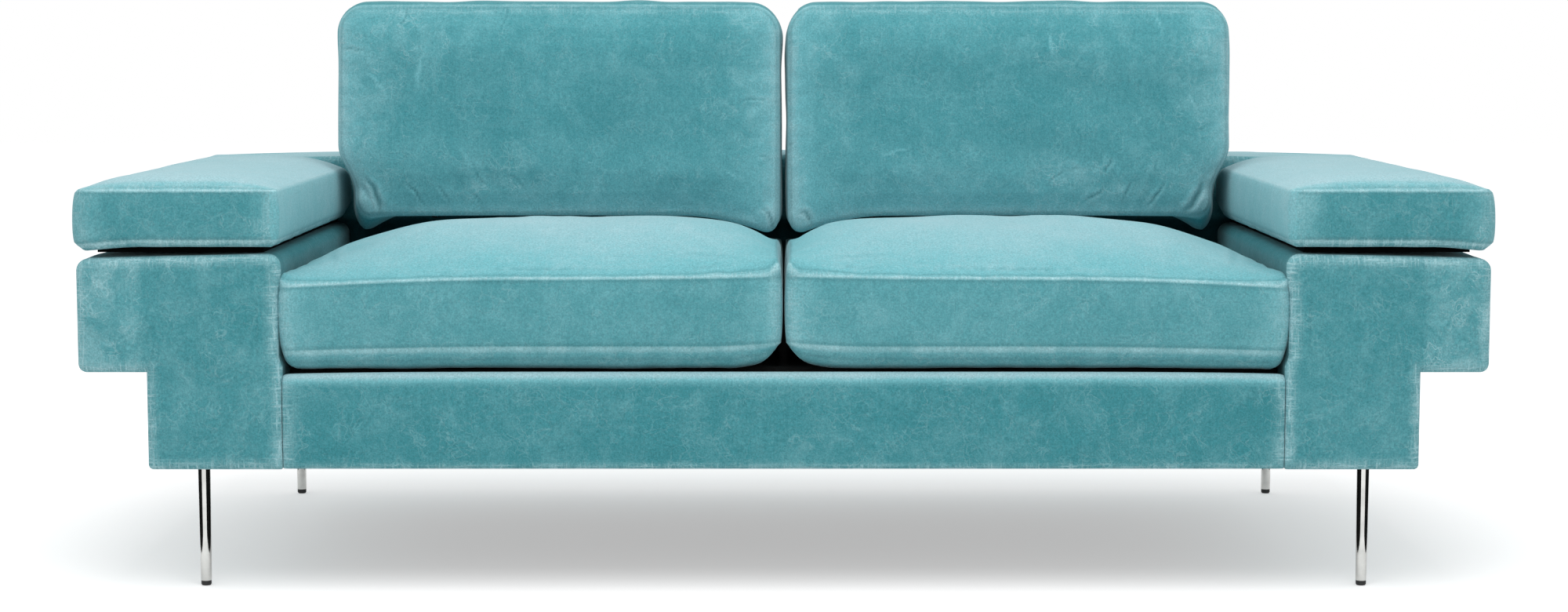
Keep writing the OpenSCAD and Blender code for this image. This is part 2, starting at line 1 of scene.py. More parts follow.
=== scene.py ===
import bpy
import bmesh
import json
import math
import numpy as np
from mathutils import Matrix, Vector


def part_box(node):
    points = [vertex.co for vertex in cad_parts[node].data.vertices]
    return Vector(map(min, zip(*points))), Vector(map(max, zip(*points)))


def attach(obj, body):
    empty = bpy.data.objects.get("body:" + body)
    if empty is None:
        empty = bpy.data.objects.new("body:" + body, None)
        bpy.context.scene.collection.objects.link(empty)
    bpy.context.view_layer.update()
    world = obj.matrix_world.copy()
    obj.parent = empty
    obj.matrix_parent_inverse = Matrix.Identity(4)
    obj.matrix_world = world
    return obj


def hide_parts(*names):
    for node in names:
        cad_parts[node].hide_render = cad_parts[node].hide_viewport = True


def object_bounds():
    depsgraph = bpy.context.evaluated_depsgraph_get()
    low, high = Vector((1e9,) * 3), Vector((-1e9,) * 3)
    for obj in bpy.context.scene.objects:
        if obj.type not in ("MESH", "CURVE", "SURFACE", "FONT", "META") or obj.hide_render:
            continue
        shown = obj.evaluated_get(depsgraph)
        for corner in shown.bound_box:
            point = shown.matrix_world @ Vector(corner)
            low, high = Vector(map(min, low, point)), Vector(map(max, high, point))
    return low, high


# Two-seat velvet sofa with stepped arms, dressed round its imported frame.
# Metres, the front looks towards -Y, the floor is z = 0 and the middle is x = 0.

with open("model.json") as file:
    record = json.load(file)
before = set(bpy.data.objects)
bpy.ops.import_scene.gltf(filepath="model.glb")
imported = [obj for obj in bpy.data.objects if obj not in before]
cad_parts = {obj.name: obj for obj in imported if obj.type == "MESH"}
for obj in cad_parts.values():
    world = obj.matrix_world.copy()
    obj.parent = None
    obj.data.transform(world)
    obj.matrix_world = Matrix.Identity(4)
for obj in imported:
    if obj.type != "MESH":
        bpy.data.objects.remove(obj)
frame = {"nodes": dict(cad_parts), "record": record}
cadLow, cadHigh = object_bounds()
frontY = cadLow[1]
print("frame loaded:", len(frame["nodes"]), "nodes")


# Camera

camera = {
    "place": (0.0005, -4.309, 0.771),
    "pitchDown": 5.554,  # degrees
    "lens": 65.34,
    "sensor": 36.0,
}
cameraData = bpy.data.cameras.new("camera")
cameraData.lens = camera["lens"]
cameraData.sensor_width = camera["sensor"]
cameraObject = bpy.data.objects.new("camera", cameraData)
cameraObject.location = camera["place"]
cameraObject.rotation_euler = (math.radians(90 - camera["pitchDown"]), 0, 0)
bpy.context.scene.collection.objects.link(cameraObject)
bpy.context.scene.camera = cameraObject


# Node helpers

def feed(tree, node, inputs):
    # Each input is set to a value, or linked from a socket
    for key, value in inputs.items():
        if isinstance(value, bpy.types.NodeSocket):
            tree.links.new(value, node.inputs[key])
        else:
            node.inputs[key].default_value = value
    return node


def addNode(tree, kind, inputs=None, **settings):
    # A node with its settings and its inputs
    node = tree.nodes.new(kind)
    for key, value in settings.items():
        setattr(node, key, value)
    return feed(tree, node, inputs or {})


def mathOf(tree, operation, first, second=0.0, third=0.0, clamp=False):
    node = addNode(tree, "ShaderNodeMath", {0: first, 1: second, 2: third}, operation=operation)
    node.use_clamp = clamp
    return node.outputs[0]


def between(tree, value, low, high):
    # 0 below low, 1 above high, and a smooth step between
    return addNode(
        tree, "ShaderNodeMapRange", {"Value": value, "From Min": low, "From Max": high},
        interpolation_type="SMOOTHSTEP",
    ).outputs["Result"]


def mixColour(tree, share, first, second, blend="MIX"):
    node = addNode(
        tree, "ShaderNodeMix", {0: share, 6: first, 7: second}, data_type="RGBA", blend_type=blend)
    return node.outputs[2]


def objectPlace(tree):
    return addNode(tree, "ShaderNodeTexCoord").outputs["Object"]


def noiseOf(tree, place, scale, detail, roughness=0.5, distortion=0.0):
    return addNode(tree, "ShaderNodeTexNoise", {
        "Vector": place, "Scale": scale, "Detail": detail, "Roughness": roughness,
        "Distortion": distortion}).outputs[0]


def stretchedBy(tree, place, scales):
    return addNode(tree, "ShaderNodeVectorMath", {0: place, 1: scales}, operation="MULTIPLY").outputs[0]


def addRelief(tree, shader, height, strength, distance):
    bump = addNode(tree, "ShaderNodeBump", {"Height": height, "Strength": strength, "Distance": distance})
    tree.links.new(bump.outputs[0], shader.inputs["Normal"])


def newMaterial(name):
    material = bpy.data.materials.new(name)
    material.use_nodes = True
    tree = material.node_tree
    return material, tree, tree.nodes["Principled BSDF"]


def newGroup(name, inputs, outputs):
    # A node group with its named sockets
    group = bpy.data.node_groups.new(name, "ShaderNodeTree")
    for label, kind, value in inputs:
        socket = group.interface.new_socket(label, in_out="INPUT", socket_type="NodeSocket" + kind)
        socket.default_value = value
    for label, kind in outputs:
        group.interface.new_socket(label, in_out="OUTPUT", socket_type="NodeSocket" + kind)
    return group, group.nodes.new("NodeGroupInput"), group.nodes.new("NodeGroupOutput")


def srgb(red, green, blue):
    # A colour written in 0 to 255 display values, as linear values
    share = np.array([red, green, blue]) / 255
    linear = np.where(share <= 0.04045, share / 12.92, ((share + 0.055) / 1.055) ** 2.4)
    return (*[float(value) for value in linear], 1.0)


# Stage and light

stage = {
    "floorSize": 30.0,
    "floorGrey": 0.80,
    "floorLift": 0.42,
    "worldStrength": 0.76,
    "lampPower": 62.0,
    "lampSize": (2.4, 3.4),
    "lampPlace": (0.0, -1.35, 3.1),
    "lampTilt": 26.0,  # degrees, from straight down towards the sofa
    "flagAway": 0.25,  # dark cards beside each leg, seen only in its polish
    "flagAhead": 0.31,
    "flagBehind": 0.34,
    "flagHeight": 0.30,
    "flagGrey": 0.02,
}
legX, legY = 0.805, 0.395  # from the middle of the sofa to the legs' middles
legPlaces = [(sideX * legX, sideY * legY) for sideX in (-1, 1) for sideY in (-1, 1)]


def flatCard(name, corners, material):
    mesh = bpy.data.meshes.new(name)
    mesh.from_pydata(corners, [], [(0, 1, 2, 3)])
    mesh.materials.append(material)
    card = bpy.data.objects.new(name, mesh)
    bpy.context.scene.collection.objects.link(card)
    return card


def plainPaint(name, grey):
    material, tree, shader = newMaterial(name)
    feed(tree, shader, {"Base Color": (grey, grey, grey, 1), "Roughness": 1.0, "Specular IOR Level": 0.0})
    return material, tree, shader


def levelFor(tree, hidden, seen):
    # One level where the camera, a mirror or glass looks, and another for the light it gives
    path = addNode(tree, "ShaderNodeLightPath")
    looks = mathOf(tree, "MAXIMUM", path.outputs["Is Camera Ray"], path.outputs["Is Glossy Ray"])
    looks = mathOf(tree, "MAXIMUM", looks, path.outputs["Is Transmission Ray"])
    return addNode(tree, "ShaderNodeMapRange", {
        "Value": looks, "To Min": hidden, "To Max": seen}).outputs["Result"]


def buildStage():
    half = stage["floorSize"] / 2
    material, tree, shader = plainPaint("floorPaper", stage["floorGrey"])
    feed(tree, shader, {
        "Emission Color": (1, 1, 1, 1), "Emission Strength": levelFor(tree, 0.0, stage["floorLift"])})
    flatCard("floor", [(-half, -half, 0), (half, -half, 0), (half, half, 0), (-half, half, 0)], material)

    flagPaint = plainPaint("flagPaint", stage["flagGrey"])[0]
    top = stage["flagHeight"]
    for number, (atX, atY) in enumerate(legPlaces):
        near, far = atY - stage["flagAhead"], atY + stage["flagBehind"]
        for side, sideName in ((-1, "Left"), (1, "Right")):
            x = atX + side * stage["flagAway"]
            card = flatCard(
                "legFlag%d%s" % (number, sideName),
                [(x, near, 0), (x, far, 0), (x, far, top), (x, near, top)], flagPaint)
            card.visible_camera = False
            card.visible_diffuse = False
            card.visible_shadow = False
            card.visible_transmission = False

    world = bpy.data.worlds.new("studio")
    bpy.context.scene.world = world
    world.use_nodes = True
    tree = world.node_tree
    feed(tree, tree.nodes["Background"], {
        "Color": (1, 1, 1, 1), "Strength": levelFor(tree, stage["worldStrength"], 1.0)})

    lamp = bpy.data.lights.new("frontSoftbox", "AREA")
    lamp.shape = "RECTANGLE"
    lamp.size, lamp.size_y = stage["lampSize"]
    lamp.energy = stage["lampPower"]
    lampObject = bpy.data.objects.new("frontSoftbox", lamp)
    lampObject.location = stage["lampPlace"]
    lampObject.rotation_euler = (math.radians(stage["lampTilt"]), 0, 0)
    bpy.context.scene.collection.objects.link(lampObject)

    bpy.context.scene.view_settings.view_transform = "Standard"


buildStage()
print("stage built")


# Materials of the cloth

velvet = {
    # deep, lit and pale run from the velvet's own colour to lit copies of it, picked by painted sheen and
    # top light; line is a painted highlight on seams and dark is painted shade
    "deep": srgb(60, 133, 141),
    "lit": srgb(108, 172, 180),
    "pale": srgb(158, 191, 198),
    "worn": srgb(150, 192, 198),
    "line": srgb(186, 222, 228),
    "dark": srgb(22, 66, 72),
    "sheen": 0.30, "armSheen": 0.14,
    "edgeWear": 1.0, "armEdgeWear": 1.45,
    "sheenRoughness": 0.40,
    "sheenTint": srgb(222, 246, 250),
    "shine": 0.10,
    "relief": 0.35, "reliefDeep": 0.0012,
}


def attributeOf(tree, label):
    return addNode(tree, "ShaderNodeAttribute", attribute_name=label).outputs["Fac"]


pile = {
    "bendScale": 16.0, "bend": 0.045,  # how far the patterns are pushed about, in metres
    "patchScale": 5.0, "mottleScale": 26.0, "fineScale": 190.0, "grainScale": 430.0,
    "fleckScale": 260.0, "breakScale": 30.0,
    "scratchScale": 26.0, "scratchWidth": 0.012,
    "veins": ((23.0, 0.030, 0.50), (57.0, 0.070, 0.55)),  # scale, width and strength
    "brushed": (420.0, 9.0, 20.0),  # a noise's scale along each axis, for strokes
    "across": (24.0, 24.0, 330.0),
    "upright": (330.0, 40.0, 26.0),
    # Each pair below is a factor and what is added to it
    "edgeWear": (0.60, 0.16),  # of the strokes beside a worn edge
    "marksWear": (0.70, 0.18), "mottleWear": (0.60, 0.04), "flecksWear": (0.50, 0.10),  # of the crush
    "patchesTip": (0.24, -0.12), "mottleTip": (0.10, -0.04),  # how far they tip the nap
    "brushedTip": (0.14, -0.07), "fineTip": (0.36, -0.18),
    # seamHighlight paints a highlight on seam ridges, and shadeStrength is how far painted shade darkens
    # creases and seam grooves
    "seamHighlight": (0.25, 0.22), "grain": (1.10, 0.45),
    "edgeCrush": 0.60, "shadeStrength": 0.75,
    "marksHigh": 0.5, "mottleHigh": 0.6, "grainHigh": 0.35,
}


def buildPileGroup():
    # Crushed pile. The napAndSheen attribute runs from deep over lit to pale: the pile's own tone with
    # painted sheen and top light. Edge and crush bring out the worn colour in short strokes, thin scratches
    # and veins. Seam gets a painted highlight on its ridge, and foldShade is painted shade that darkens.
    colours = [(label, "Color", (1, 1, 1, 1)) for label in ("Deep", "Lit", "Pale", "Worn", "Line", "Dark")]
    group, given, out = newGroup(
        "crushedPile", colours + [("Edge Wear", "Float", 1.0)],
        [("Color", "Color"), ("Roughness", "Float"), ("Height", "Float")])
    place = objectPlace(group)
    bend = addNode(group, "ShaderNodeTexNoise", {"Vector": place, "Scale": pile["bendScale"], "Detail": 4.0})
    centred = addNode(
        group, "ShaderNodeVectorMath", {0: bend.outputs["Color"], 1: (0.5, 0.5, 0.5)}, operation="SUBTRACT")
    drift = addNode(
        group, "ShaderNodeVectorMath", {0: centred.outputs[0], "Scale": pile["bend"]}, operation="SCALE")
    bent = addNode(
        group, "ShaderNodeVectorMath", {0: place, 1: drift.outputs[0]}, operation="ADD").outputs[0]

    def veinsAt(scale, width):
        # Soft lines along the borders of bent cells
        cells = addNode(
            group, "ShaderNodeTexVoronoi", {"Vector": bent, "Scale": scale}, feature="DISTANCE_TO_EDGE")
        return mathOf(group, "SUBTRACT", 1.0, between(group, cells.outputs["Distance"], 0.0, width))

    def levelLines(value, width):
        # Thin lines where a smooth noise passes its middle
        away = mathOf(group, "ABSOLUTE", mathOf(group, "SUBTRACT", value, 0.5))
        return mathOf(group, "SUBTRACT", 1.0, between(group, away, 0.0, width))

    def strokes(scales, detail, roughness):
        return noiseOf(group, stretchedBy(group, place, scales), 1.0, detail, roughness)

    def most(first, second):
        return mathOf(group, "MAXIMUM", first, second)

    def times(first, second):
        return mathOf(group, "MULTIPLY", first, second)

    def plus(first, second):
        return mathOf(group, "ADD", first, second)

    def scaled(value, pair, clamp=False):
        return mathOf(group, "MULTIPLY_ADD", value, *pair, clamp=clamp)

    edge, napAndSheen, seam, foldShade, crush = [
        attributeOf(group, label) for label in ("edge", "napAndSheen", "seam", "foldShade", "crush")]
    patches = noiseOf(group, place, pile["patchScale"], 3.0)
    mottle = between(group, noiseOf(group, bent, pile["mottleScale"], 9.0, 0.72), 0.40, 0.74)
    fine = noiseOf(group, place, pile["fineScale"], 4.0, 0.75)
    brushed = strokes(pile["brushed"], 3.0, 0.6)
    fray = most(strokes(pile["across"], 4.0, 0.65), strokes(pile["upright"], 4.0, 0.65))
    fray = between(group, fray, 0.46, 0.68)
    broken = between(group, noiseOf(group, bent, pile["breakScale"], 4.0, 0.6), 0.46, 0.60)
    marks = levelLines(noiseOf(group, bent, pile["scratchScale"], 2.5), pile["scratchWidth"])
    for scale, width, strength in pile["veins"]:
        marks = most(marks, times(veinsAt(scale, width), strength))
    marks = times(marks, broken)
    flecks = between(group, noiseOf(group, bent, pile["fleckScale"], 3.0, 0.6), 0.62, 0.72)
    grain = noiseOf(group, place, pile["grainScale"], 3.0, 0.7)

    nearEdge = mathOf(group, "SUBTRACT", 1.0, between(group, edge, 0.0, 1.0))
    crushed = most(crush, times(nearEdge, pile["edgeCrush"]))
    worn = times(times(nearEdge, scaled(fray, pile["edgeWear"])), given.outputs["Edge Wear"])
    for mark, share in ((marks, "marksWear"), (mottle, "mottleWear"), (flecks, "flecksWear")):
        worn = plus(worn, times(mark, scaled(crushed, pile[share])))
    worn = mathOf(group, "MINIMUM", worn, 1.0)

    # The pile's own random tone tips the painted sheen and top light
    lean = napAndSheen
    for noise, share in (
            (patches, "patchesTip"), (mottle, "mottleTip"), (brushed, "brushedTip"), (fine, "fineTip")):
        lean = plus(lean, scaled(noise, pile[share]))
    colour = mixColour(
        group, scaled(lean, (2.0, 0.0), True), given.outputs["Deep"], given.outputs["Lit"])
    colour = mixColour(group, scaled(lean, (2.0, -1.0), True), colour, given.outputs["Pale"])
    colour = mixColour(group, worn, colour, given.outputs["Worn"])
    # Painted shade in creases, seam grooves and recesses
    colour = mixColour(
        group, scaled(foldShade, (pile["shadeStrength"], 0.0), True), colour, given.outputs["Dark"])
    # A painted highlight along each seam's ridge
    seamHighlight = times(between(group, seam, 0.15, 0.85), scaled(mottle, pile["seamHighlight"]))
    colour = mixColour(group, seamHighlight, colour, given.outputs["Line"])
    colour = mixColour(group, 1.0, colour, scaled(grain, pile["grain"]), "MULTIPLY")
    height = plus(times(grain, pile["grainHigh"]), times(marks, pile["marksHigh"]))
    height = plus(height, times(mottle, pile["mottleHigh"]))
    feed(group, out, {"Color": colour, "Roughness": scaled(worn, (-0.12, 0.95)), "Height": height})
    return group


pileGroup = buildPileGroup()


def buildVelvet(name, edgeWear, sheen):
    material, tree, shader = newMaterial(name)
    inputs = {label: velvet[label.lower()] for label in ("Deep", "Lit", "Pale", "Worn", "Line", "Dark")}
    inputs["Edge Wear"] = edgeWear
    made = addNode(tree, "ShaderNodeGroup", inputs, node_tree=pileGroup)
    feed(tree, shader, {
        "Base Color": made.outputs["Color"], "Roughness": made.outputs["Roughness"],
        "Specular IOR Level": velvet["shine"], "Sheen Weight": sheen,
        "Sheen Roughness": velvet["sheenRoughness"], "Sheen Tint": velvet["sheenTint"]})
    addRelief(tree, shader, made.outputs["Height"], velvet["relief"], velvet["reliefDeep"])
    return material


def buildBlackCloth(name, scale, grey):
    # Plain black cloth: the sines of x and y times the scale give a fine square weave
    material, tree, shader = newMaterial(name)
    place = objectPlace(tree)
    split = addNode(tree, "ShaderNodeSeparateXYZ", {0: place})
    across, along = [
        mathOf(tree, "SINE", mathOf(tree, "MULTIPLY", split.outputs[axis], scale)) for axis in (0, 1)]
    fuzz = noiseOf(tree, place, 60.0, 5.0)
    light = mixColour(
        tree, between(tree, fuzz, 0.3, 0.7), (grey * 0.6, grey * 0.6, grey * 0.65, 1),
        (grey * 1.5, grey * 1.5, grey * 1.5, 1))
    feed(tree, shader, {"Base Color": light, "Roughness": 0.95})
    addRelief(tree, shader, mathOf(tree, "MULTIPLY", across, along), 0.3, 0.0006)
    return material


velvetWorn = buildVelvet("velvetWorn", velvet["edgeWear"], velvet["sheen"])
velvetArm = buildVelvet("velvetArm", velvet["armEdgeWear"], velvet["armSheen"])
deckCloth = buildBlackCloth("deckCloth", 2400.0, 0.008)
dustCloth = buildBlackCloth("dustCloth", 4200.0, 0.015)
webCloth = buildBlackCloth("webCloth", 1500.0, 0.02)
print("cloth materials built")


# Mesh helpers

def rising(value, run):
    # 0 up to 0, 1 from run onwards
    return np.clip(value / run, 0, 1)


def falling(value, run):
    # 1 up to 0, 0 from run onwards
    return np.clip(1 - value / run, 0, 1)


def spacedLines(stops, fine, coarse):
    # Lines from stop to stop: fine steps beside each stop, a third longer each time, up to coarse
    lines = [np.array([stops[0]])]
    for low, high in zip(stops[:-1], stops[1:]):
        half = (high - low) / 2
        steps, gap = [0.0], fine
        while steps[-1] + gap < half:
            steps.append(steps[-1] + gap)
            gap = min(gap * 1.33, coarse)
        offsets = np.array(steps) * half / steps[-1]
        lines += [low + offsets[1:], (high - offsets[:-1])[::-1]]
    return np.concatenate(lines)


def roundCorner(a, b, corner):
    # Bends the square at a corner into a quarter disc: p sqrt(1 - q^2 / 2), q sqrt(1 - p^2 / 2)
    cornerA, cornerB, radius, signA, signB = corner
    p = (signA * (a - cornerA) + radius) / radius
    q = (signB * (b - cornerB) + radius) / radius
    near = (p > 0) & (q > 0) & (p <= 1.0001) & (q <= 1.0001)
    newP = p * np.sqrt(np.clip(1 - q * q / 2, 0, 1))
    newQ = q * np.sqrt(np.clip(1 - p * p / 2, 0, 1))
    return (
        np.where(near, cornerA + signA * radius * (newP - 1), a),
        np.where(near, cornerB + signB * radius * (newQ - 1), b),
    )


def plan(aLines, bLines, keep, corners):
    # A net of cells between lines, with the cells that keep() names and rounded outer corners.
    # Gives the net's points and quads, its rim edges, and the outward direction at each rim point.
    a, b = np.meshgrid(aLines, bLines, indexing="ij")
    middle = np.meshgrid((aLines[:-1] + aLines[1:]) / 2, (bLines[:-1] + bLines[1:]) / 2, indexing="ij")
    index = np.arange(a.size).reshape(a.shape)
    quads = np.stack([index[:-1, :-1], index[1:, :-1], index[1:, 1:], index[:-1, 1:]], axis=-1)
    quads = quads[keep(*middle)]
    used, quads = np.unique(quads, return_inverse=True)
    quads = quads.reshape(-1, 4)
    a, b = a.ravel()[used], b.ravel()[used]
    for corner in corners:
        a, b = roundCorner(a, b, corner)
    edges = np.concatenate([quads[:, [0, 1]], quads[:, [1, 2]], quads[:, [2, 3]], quads[:, [3, 0]]])
    key = edges.min(axis=1) * len(a) + edges.max(axis=1)
    _, first, count = np.unique(key, return_index=True, return_counts=True)
    rim = edges[first[count == 1]]
    away = np.zeros((len(a), 2))
    step = np.stack([a[rim[:, 1]] - a[rim[:, 0]], b[rim[:, 1]] - b[rim[:, 0]]], axis=1)
    step /= np.linalg.norm(step, axis=1, keepdims=True)
    for column in (0, 1):
        np.add.at(away[:, 0], rim[:, column], step[:, 1])
        np.add.at(away[:, 1], rim[:, column], -step[:, 0])
    away /= np.maximum(np.linalg.norm(away, axis=1, keepdims=True), 1e-9)
    return {"a": a, "b": b, "quads": quads, "rim": rim, "away": away}


def insideDistance(a, b, boxes):
    # How far inside the outline a point lies, where the outline joins boxes with rounded corners
    best = np.full(np.shape(a), -1.0)
    for low, high, radii in boxes:
        middleA, middleB = (low[0] + high[0]) / 2, (low[1] + high[1]) / 2
        near, far = np.where(a > middleA, radii[1], radii[0]), np.where(a > middleA, radii[2], radii[3])
        radius = np.where(b > middleB, far, near)
        outA = np.abs(a - middleA) - (high[0] - low[0]) / 2 + radius
        outB = np.abs(b - middleB) - (high[1] - low[1]) / 2 + radius
        outside = np.hypot(np.maximum(outA, 0), np.maximum(outB, 0)) + np.minimum(np.maximum(outA, outB), 0)
        best = np.maximum(best, radius - outside)
    return best


def shellOf(net, rows, backPanel=True):
    # Two panels of the net joined by rows of wall points. side is 0 on the first panel, 1 on the
    # wall and 2 on the second panel, and t runs from 0 at the first panel to 1 at the second.
    count = len(net["a"])
    rimIds = np.unique(net["rim"])
    order = np.zeros(count, int)
    order[rimIds] = np.arange(len(rimIds))
    wallRows = len(rows)
    pick = [np.arange(count)] + [rimIds] * wallRows + ([np.arange(count)] if backPanel else [])
    sizes = [len(part) for part in pick]
    starts = np.concatenate([[0], np.cumsum(sizes)])
    pick = np.concatenate(pick)
    side = np.repeat([0] + [1] * wallRows + ([2] if backPanel else []), sizes)
    t = np.repeat([0.0] + list(rows) + ([1.0] if backPanel else []), sizes)
    faces = [net["quads"]]
    levels = [net["rim"]] + [order[net["rim"]] + starts[k + 1] for k in range(wallRows)]
    if backPanel:
        levels.append(net["rim"] + starts[-2])
        faces.append(net["quads"][:, ::-1] + starts[-2])
    for upper, lower in zip(levels[:-1], levels[1:]):
        faces.append(np.stack([upper[:, 1], upper[:, 0], lower[:, 0], lower[:, 1]], axis=1))
    return {
        "a": net["a"][pick], "b": net["b"][pick], "away": net["away"][pick], "side": side, "t": t,
        "faces": np.concatenate(faces),
    }


def ripple(place, wave, seed, terms=5):
    # A smooth random line between about -1 and 1: sines near one wavelength, of random phase
    dice = np.random.default_rng(seed)
    total = np.zeros(np.shape(place))
    for _ in range(terms):
        total += np.sin(2 * np.pi * place / (wave * dice.uniform(0.6, 1.7)) + dice.uniform(0, 2 * np.pi))
    return total / math.sqrt(terms)


def lumps(first, second, wave, seed, terms=9):
    # A smooth random field: sine waves of random direction near one wavelength
    dice = np.random.default_rng(seed)
    total = np.zeros(np.shape(first))
    for _ in range(terms):
        turn, length = dice.uniform(0, np.pi), wave * dice.uniform(0.7, 1.6)
        travel = (first * math.cos(turn) + second * math.sin(turn)) * 2 * np.pi / length
        total += np.sin(travel + dice.uniform(0, 2 * np.pi))
    return total / math.sqrt(terms)


def makePiece(name, points, faces, material, masks=None, thickness=0.0):
    # The mesh as an object at the origin, its doubles merged and its faces turned outwards
    mesh = bpy.data.meshes.new(name)
    mesh.from_pydata(points.tolist(), [], faces.tolist())
    for label, values in (masks or {}).items():
        layer = mesh.attributes.new(label, "FLOAT", "POINT")
        layer.data.foreach_set("value", np.ascontiguousarray(values, dtype=np.float32))
    work = bmesh.new()
    work.from_mesh(mesh)
    bmesh.ops.remove_doubles(work, verts=work.verts, dist=1e-5)
    bmesh.ops.recalc_face_normals(work, faces=work.faces)
    work.to_mesh(mesh)
    work.free()
    mesh.materials.append(material)
    mesh.shade_smooth()
    piece = bpy.data.objects.new(name, mesh)
    bpy.context.scene.collection.objects.link(piece)
    if thickness:
        wall = piece.modifiers.new("wall", "SOLIDIFY")
        wall.thickness = thickness
        wall.offset = -1.0
    return piece


def dress(piece, body, node):
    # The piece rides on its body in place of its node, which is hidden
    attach(piece, body)
    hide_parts(node)


# Boxed cushions: two panels sewn to a boxing strip

def cushionNet(form, mirrored=False):
    radii = form["radii"] if not mirrored else [form["radii"][k] for k in (1, 0, 3, 2)]
    halfA, halfB = form["halfA"], form["halfB"]
    signs = ((-1, -1), (1, -1), (1, 1), (-1, 1))
    corners = [(sa * halfA, sb * halfB, radius, sa, sb) for (sa, sb), radius in zip(signs, radii)]
    net = plan(
        spacedLines([-halfA, halfA], form["fine"], form["coarse"]),
        spacedLines([-halfB, halfB], form["fine"], form["coarse"]),
        lambda first, second: np.ones(first.shape, bool), corners)
    return net, radii


crease = {
    "width": 0.62, "deep": 0.42,  # shares of the listed width and depth
    "waver": 0.0009, "waverRun": 0.0042, "waverTurn": 900.0,
    "shoulderAt": 2.2, "shoulderWide": 1.3, "shoulderHigh": 0.5,  # in widths, and of the depth
    "darkest": 0.60, "dark": (0.06, 0.005),  # the most painted shade in a valley, and the depth that adds 1 to it
    # the painted highlight on a crease's shoulders, and the depth that adds 1 to it
    "shoulderPale": 0.6, "pale": (0.2, 0.003),
}


def creaseField(a, b, creases):
    # Each crease is a bent, wavering line from (a0, b0) to (a1, b1): a valley with a soft shoulder
    # on each side, or a ridge where deep is negative. Gives the height, the painted shade in a valley
    # and the painted highlight on its shoulders or on a ridge.
    height, paintedShade, paintedHighlight = np.zeros(a.shape), np.zeros(a.shape), np.zeros(a.shape)
    for a0, b0, a1, b1, bow, width, deep in creases:
        width, deep = crease["width"] * width, crease["deep"] * deep
        length = math.hypot(a1 - a0, b1 - b0)
        forward = ((a1 - a0) / length, (b1 - b0) / length)
        s = ((a - a0) * forward[0] + (b - b0) * forward[1]) / length
        inside = np.clip(s, 0, 1)
        across = (b - b0) * forward[0] - (a - a0) * forward[1] - bow * 4 * inside * (1 - inside)
        waver = np.sin(s * length / crease["waverRun"] + crease["waverTurn"] * a0)
        across = across + crease["waver"] * waver
        ends = np.sin(np.pi * inside) ** 0.9
        core = ends * np.exp(-(across / width) ** 2)
        beside = (np.abs(across) - crease["shoulderAt"] * width) / (crease["shoulderWide"] * width)
        shoulder = ends * np.exp(-beside ** 2)
        if deep > 0:
            height += deep * (crease["shoulderHigh"] * shoulder - core)
            dark = crease["dark"][0] + deep / crease["dark"][1]
            pale = crease["pale"][0] + deep / crease["pale"][1]
            paintedShade = np.maximum(paintedShade, core * min(crease["darkest"], dark))
            paintedHighlight = np.maximum(paintedHighlight, crease["shoulderPale"] * shoulder * min(1, pale))
        else:
            height -= deep * core
            paintedHighlight = np.maximum(paintedHighlight, core)
    return height, paintedShade, paintedHighlight


def spots(a, b, places):
    # Soft patches (middle a, middle b, half width, half height, strength)
    best = np.zeros(a.shape)
    for middleA, middleB, halfA, halfB, strength in places:
        away = ((a - middleA) / halfA) ** 2 + ((b - middleB) / halfB) ** 2
        best = np.maximum(best, strength * np.exp(-away ** 1.5))
    return best


def rollUp(distance, run):
    # A quarter ellipse: 0 at the edge, 1 from run onwards
    return np.sqrt(1 - falling(distance, run) ** 2)


def gridFaces(shape, start=0):
    # Quads over a grid of points, which are counted from start
    index = np.arange(shape[0] * shape[1]).reshape(shape) + start
    quads = np.stack([index[:-1, :-1], index[1:, :-1], index[1:, 1:], index[:-1, 1:]], axis=-1)
    return quads.reshape(-1, 4)


cloth = {
    "spacing": 0.008, "frames": 20,
    "pressure": 4.0,
    "slack": 0.02,  # how much larger the cloth is cut than the panel it covers
    "tension": 15.0, "bending": 0.10, "mass": 0.3,
    "cap": 0.010,  # the farthest that a point may move
    "spread": 9,  # half the width of the running mean, in grid steps
    "unrest": 0.0008, "unrestWave": 0.07, "unrestRun": 0.02,  # small waves that start the creases
    "seamRun": 0.012,  # creases start this far in from the seam
}


def runningMean(field, half):
    # The mean over a square of 2 half + 1 steps, from running sums along each axis
    for axis in (0, 1):
        wide = np.pad(field, [(half + 1, half) if n == axis else (0, 0) for n in (0, 1)], mode="edge")
        sums = np.cumsum(wide, axis=axis)
        count = 2 * half + 1
        field = (np.take(sums, range(count, sums.shape[axis]), axis)
                 - np.take(sums, range(0, sums.shape[axis] - count), axis)) / count
    return field


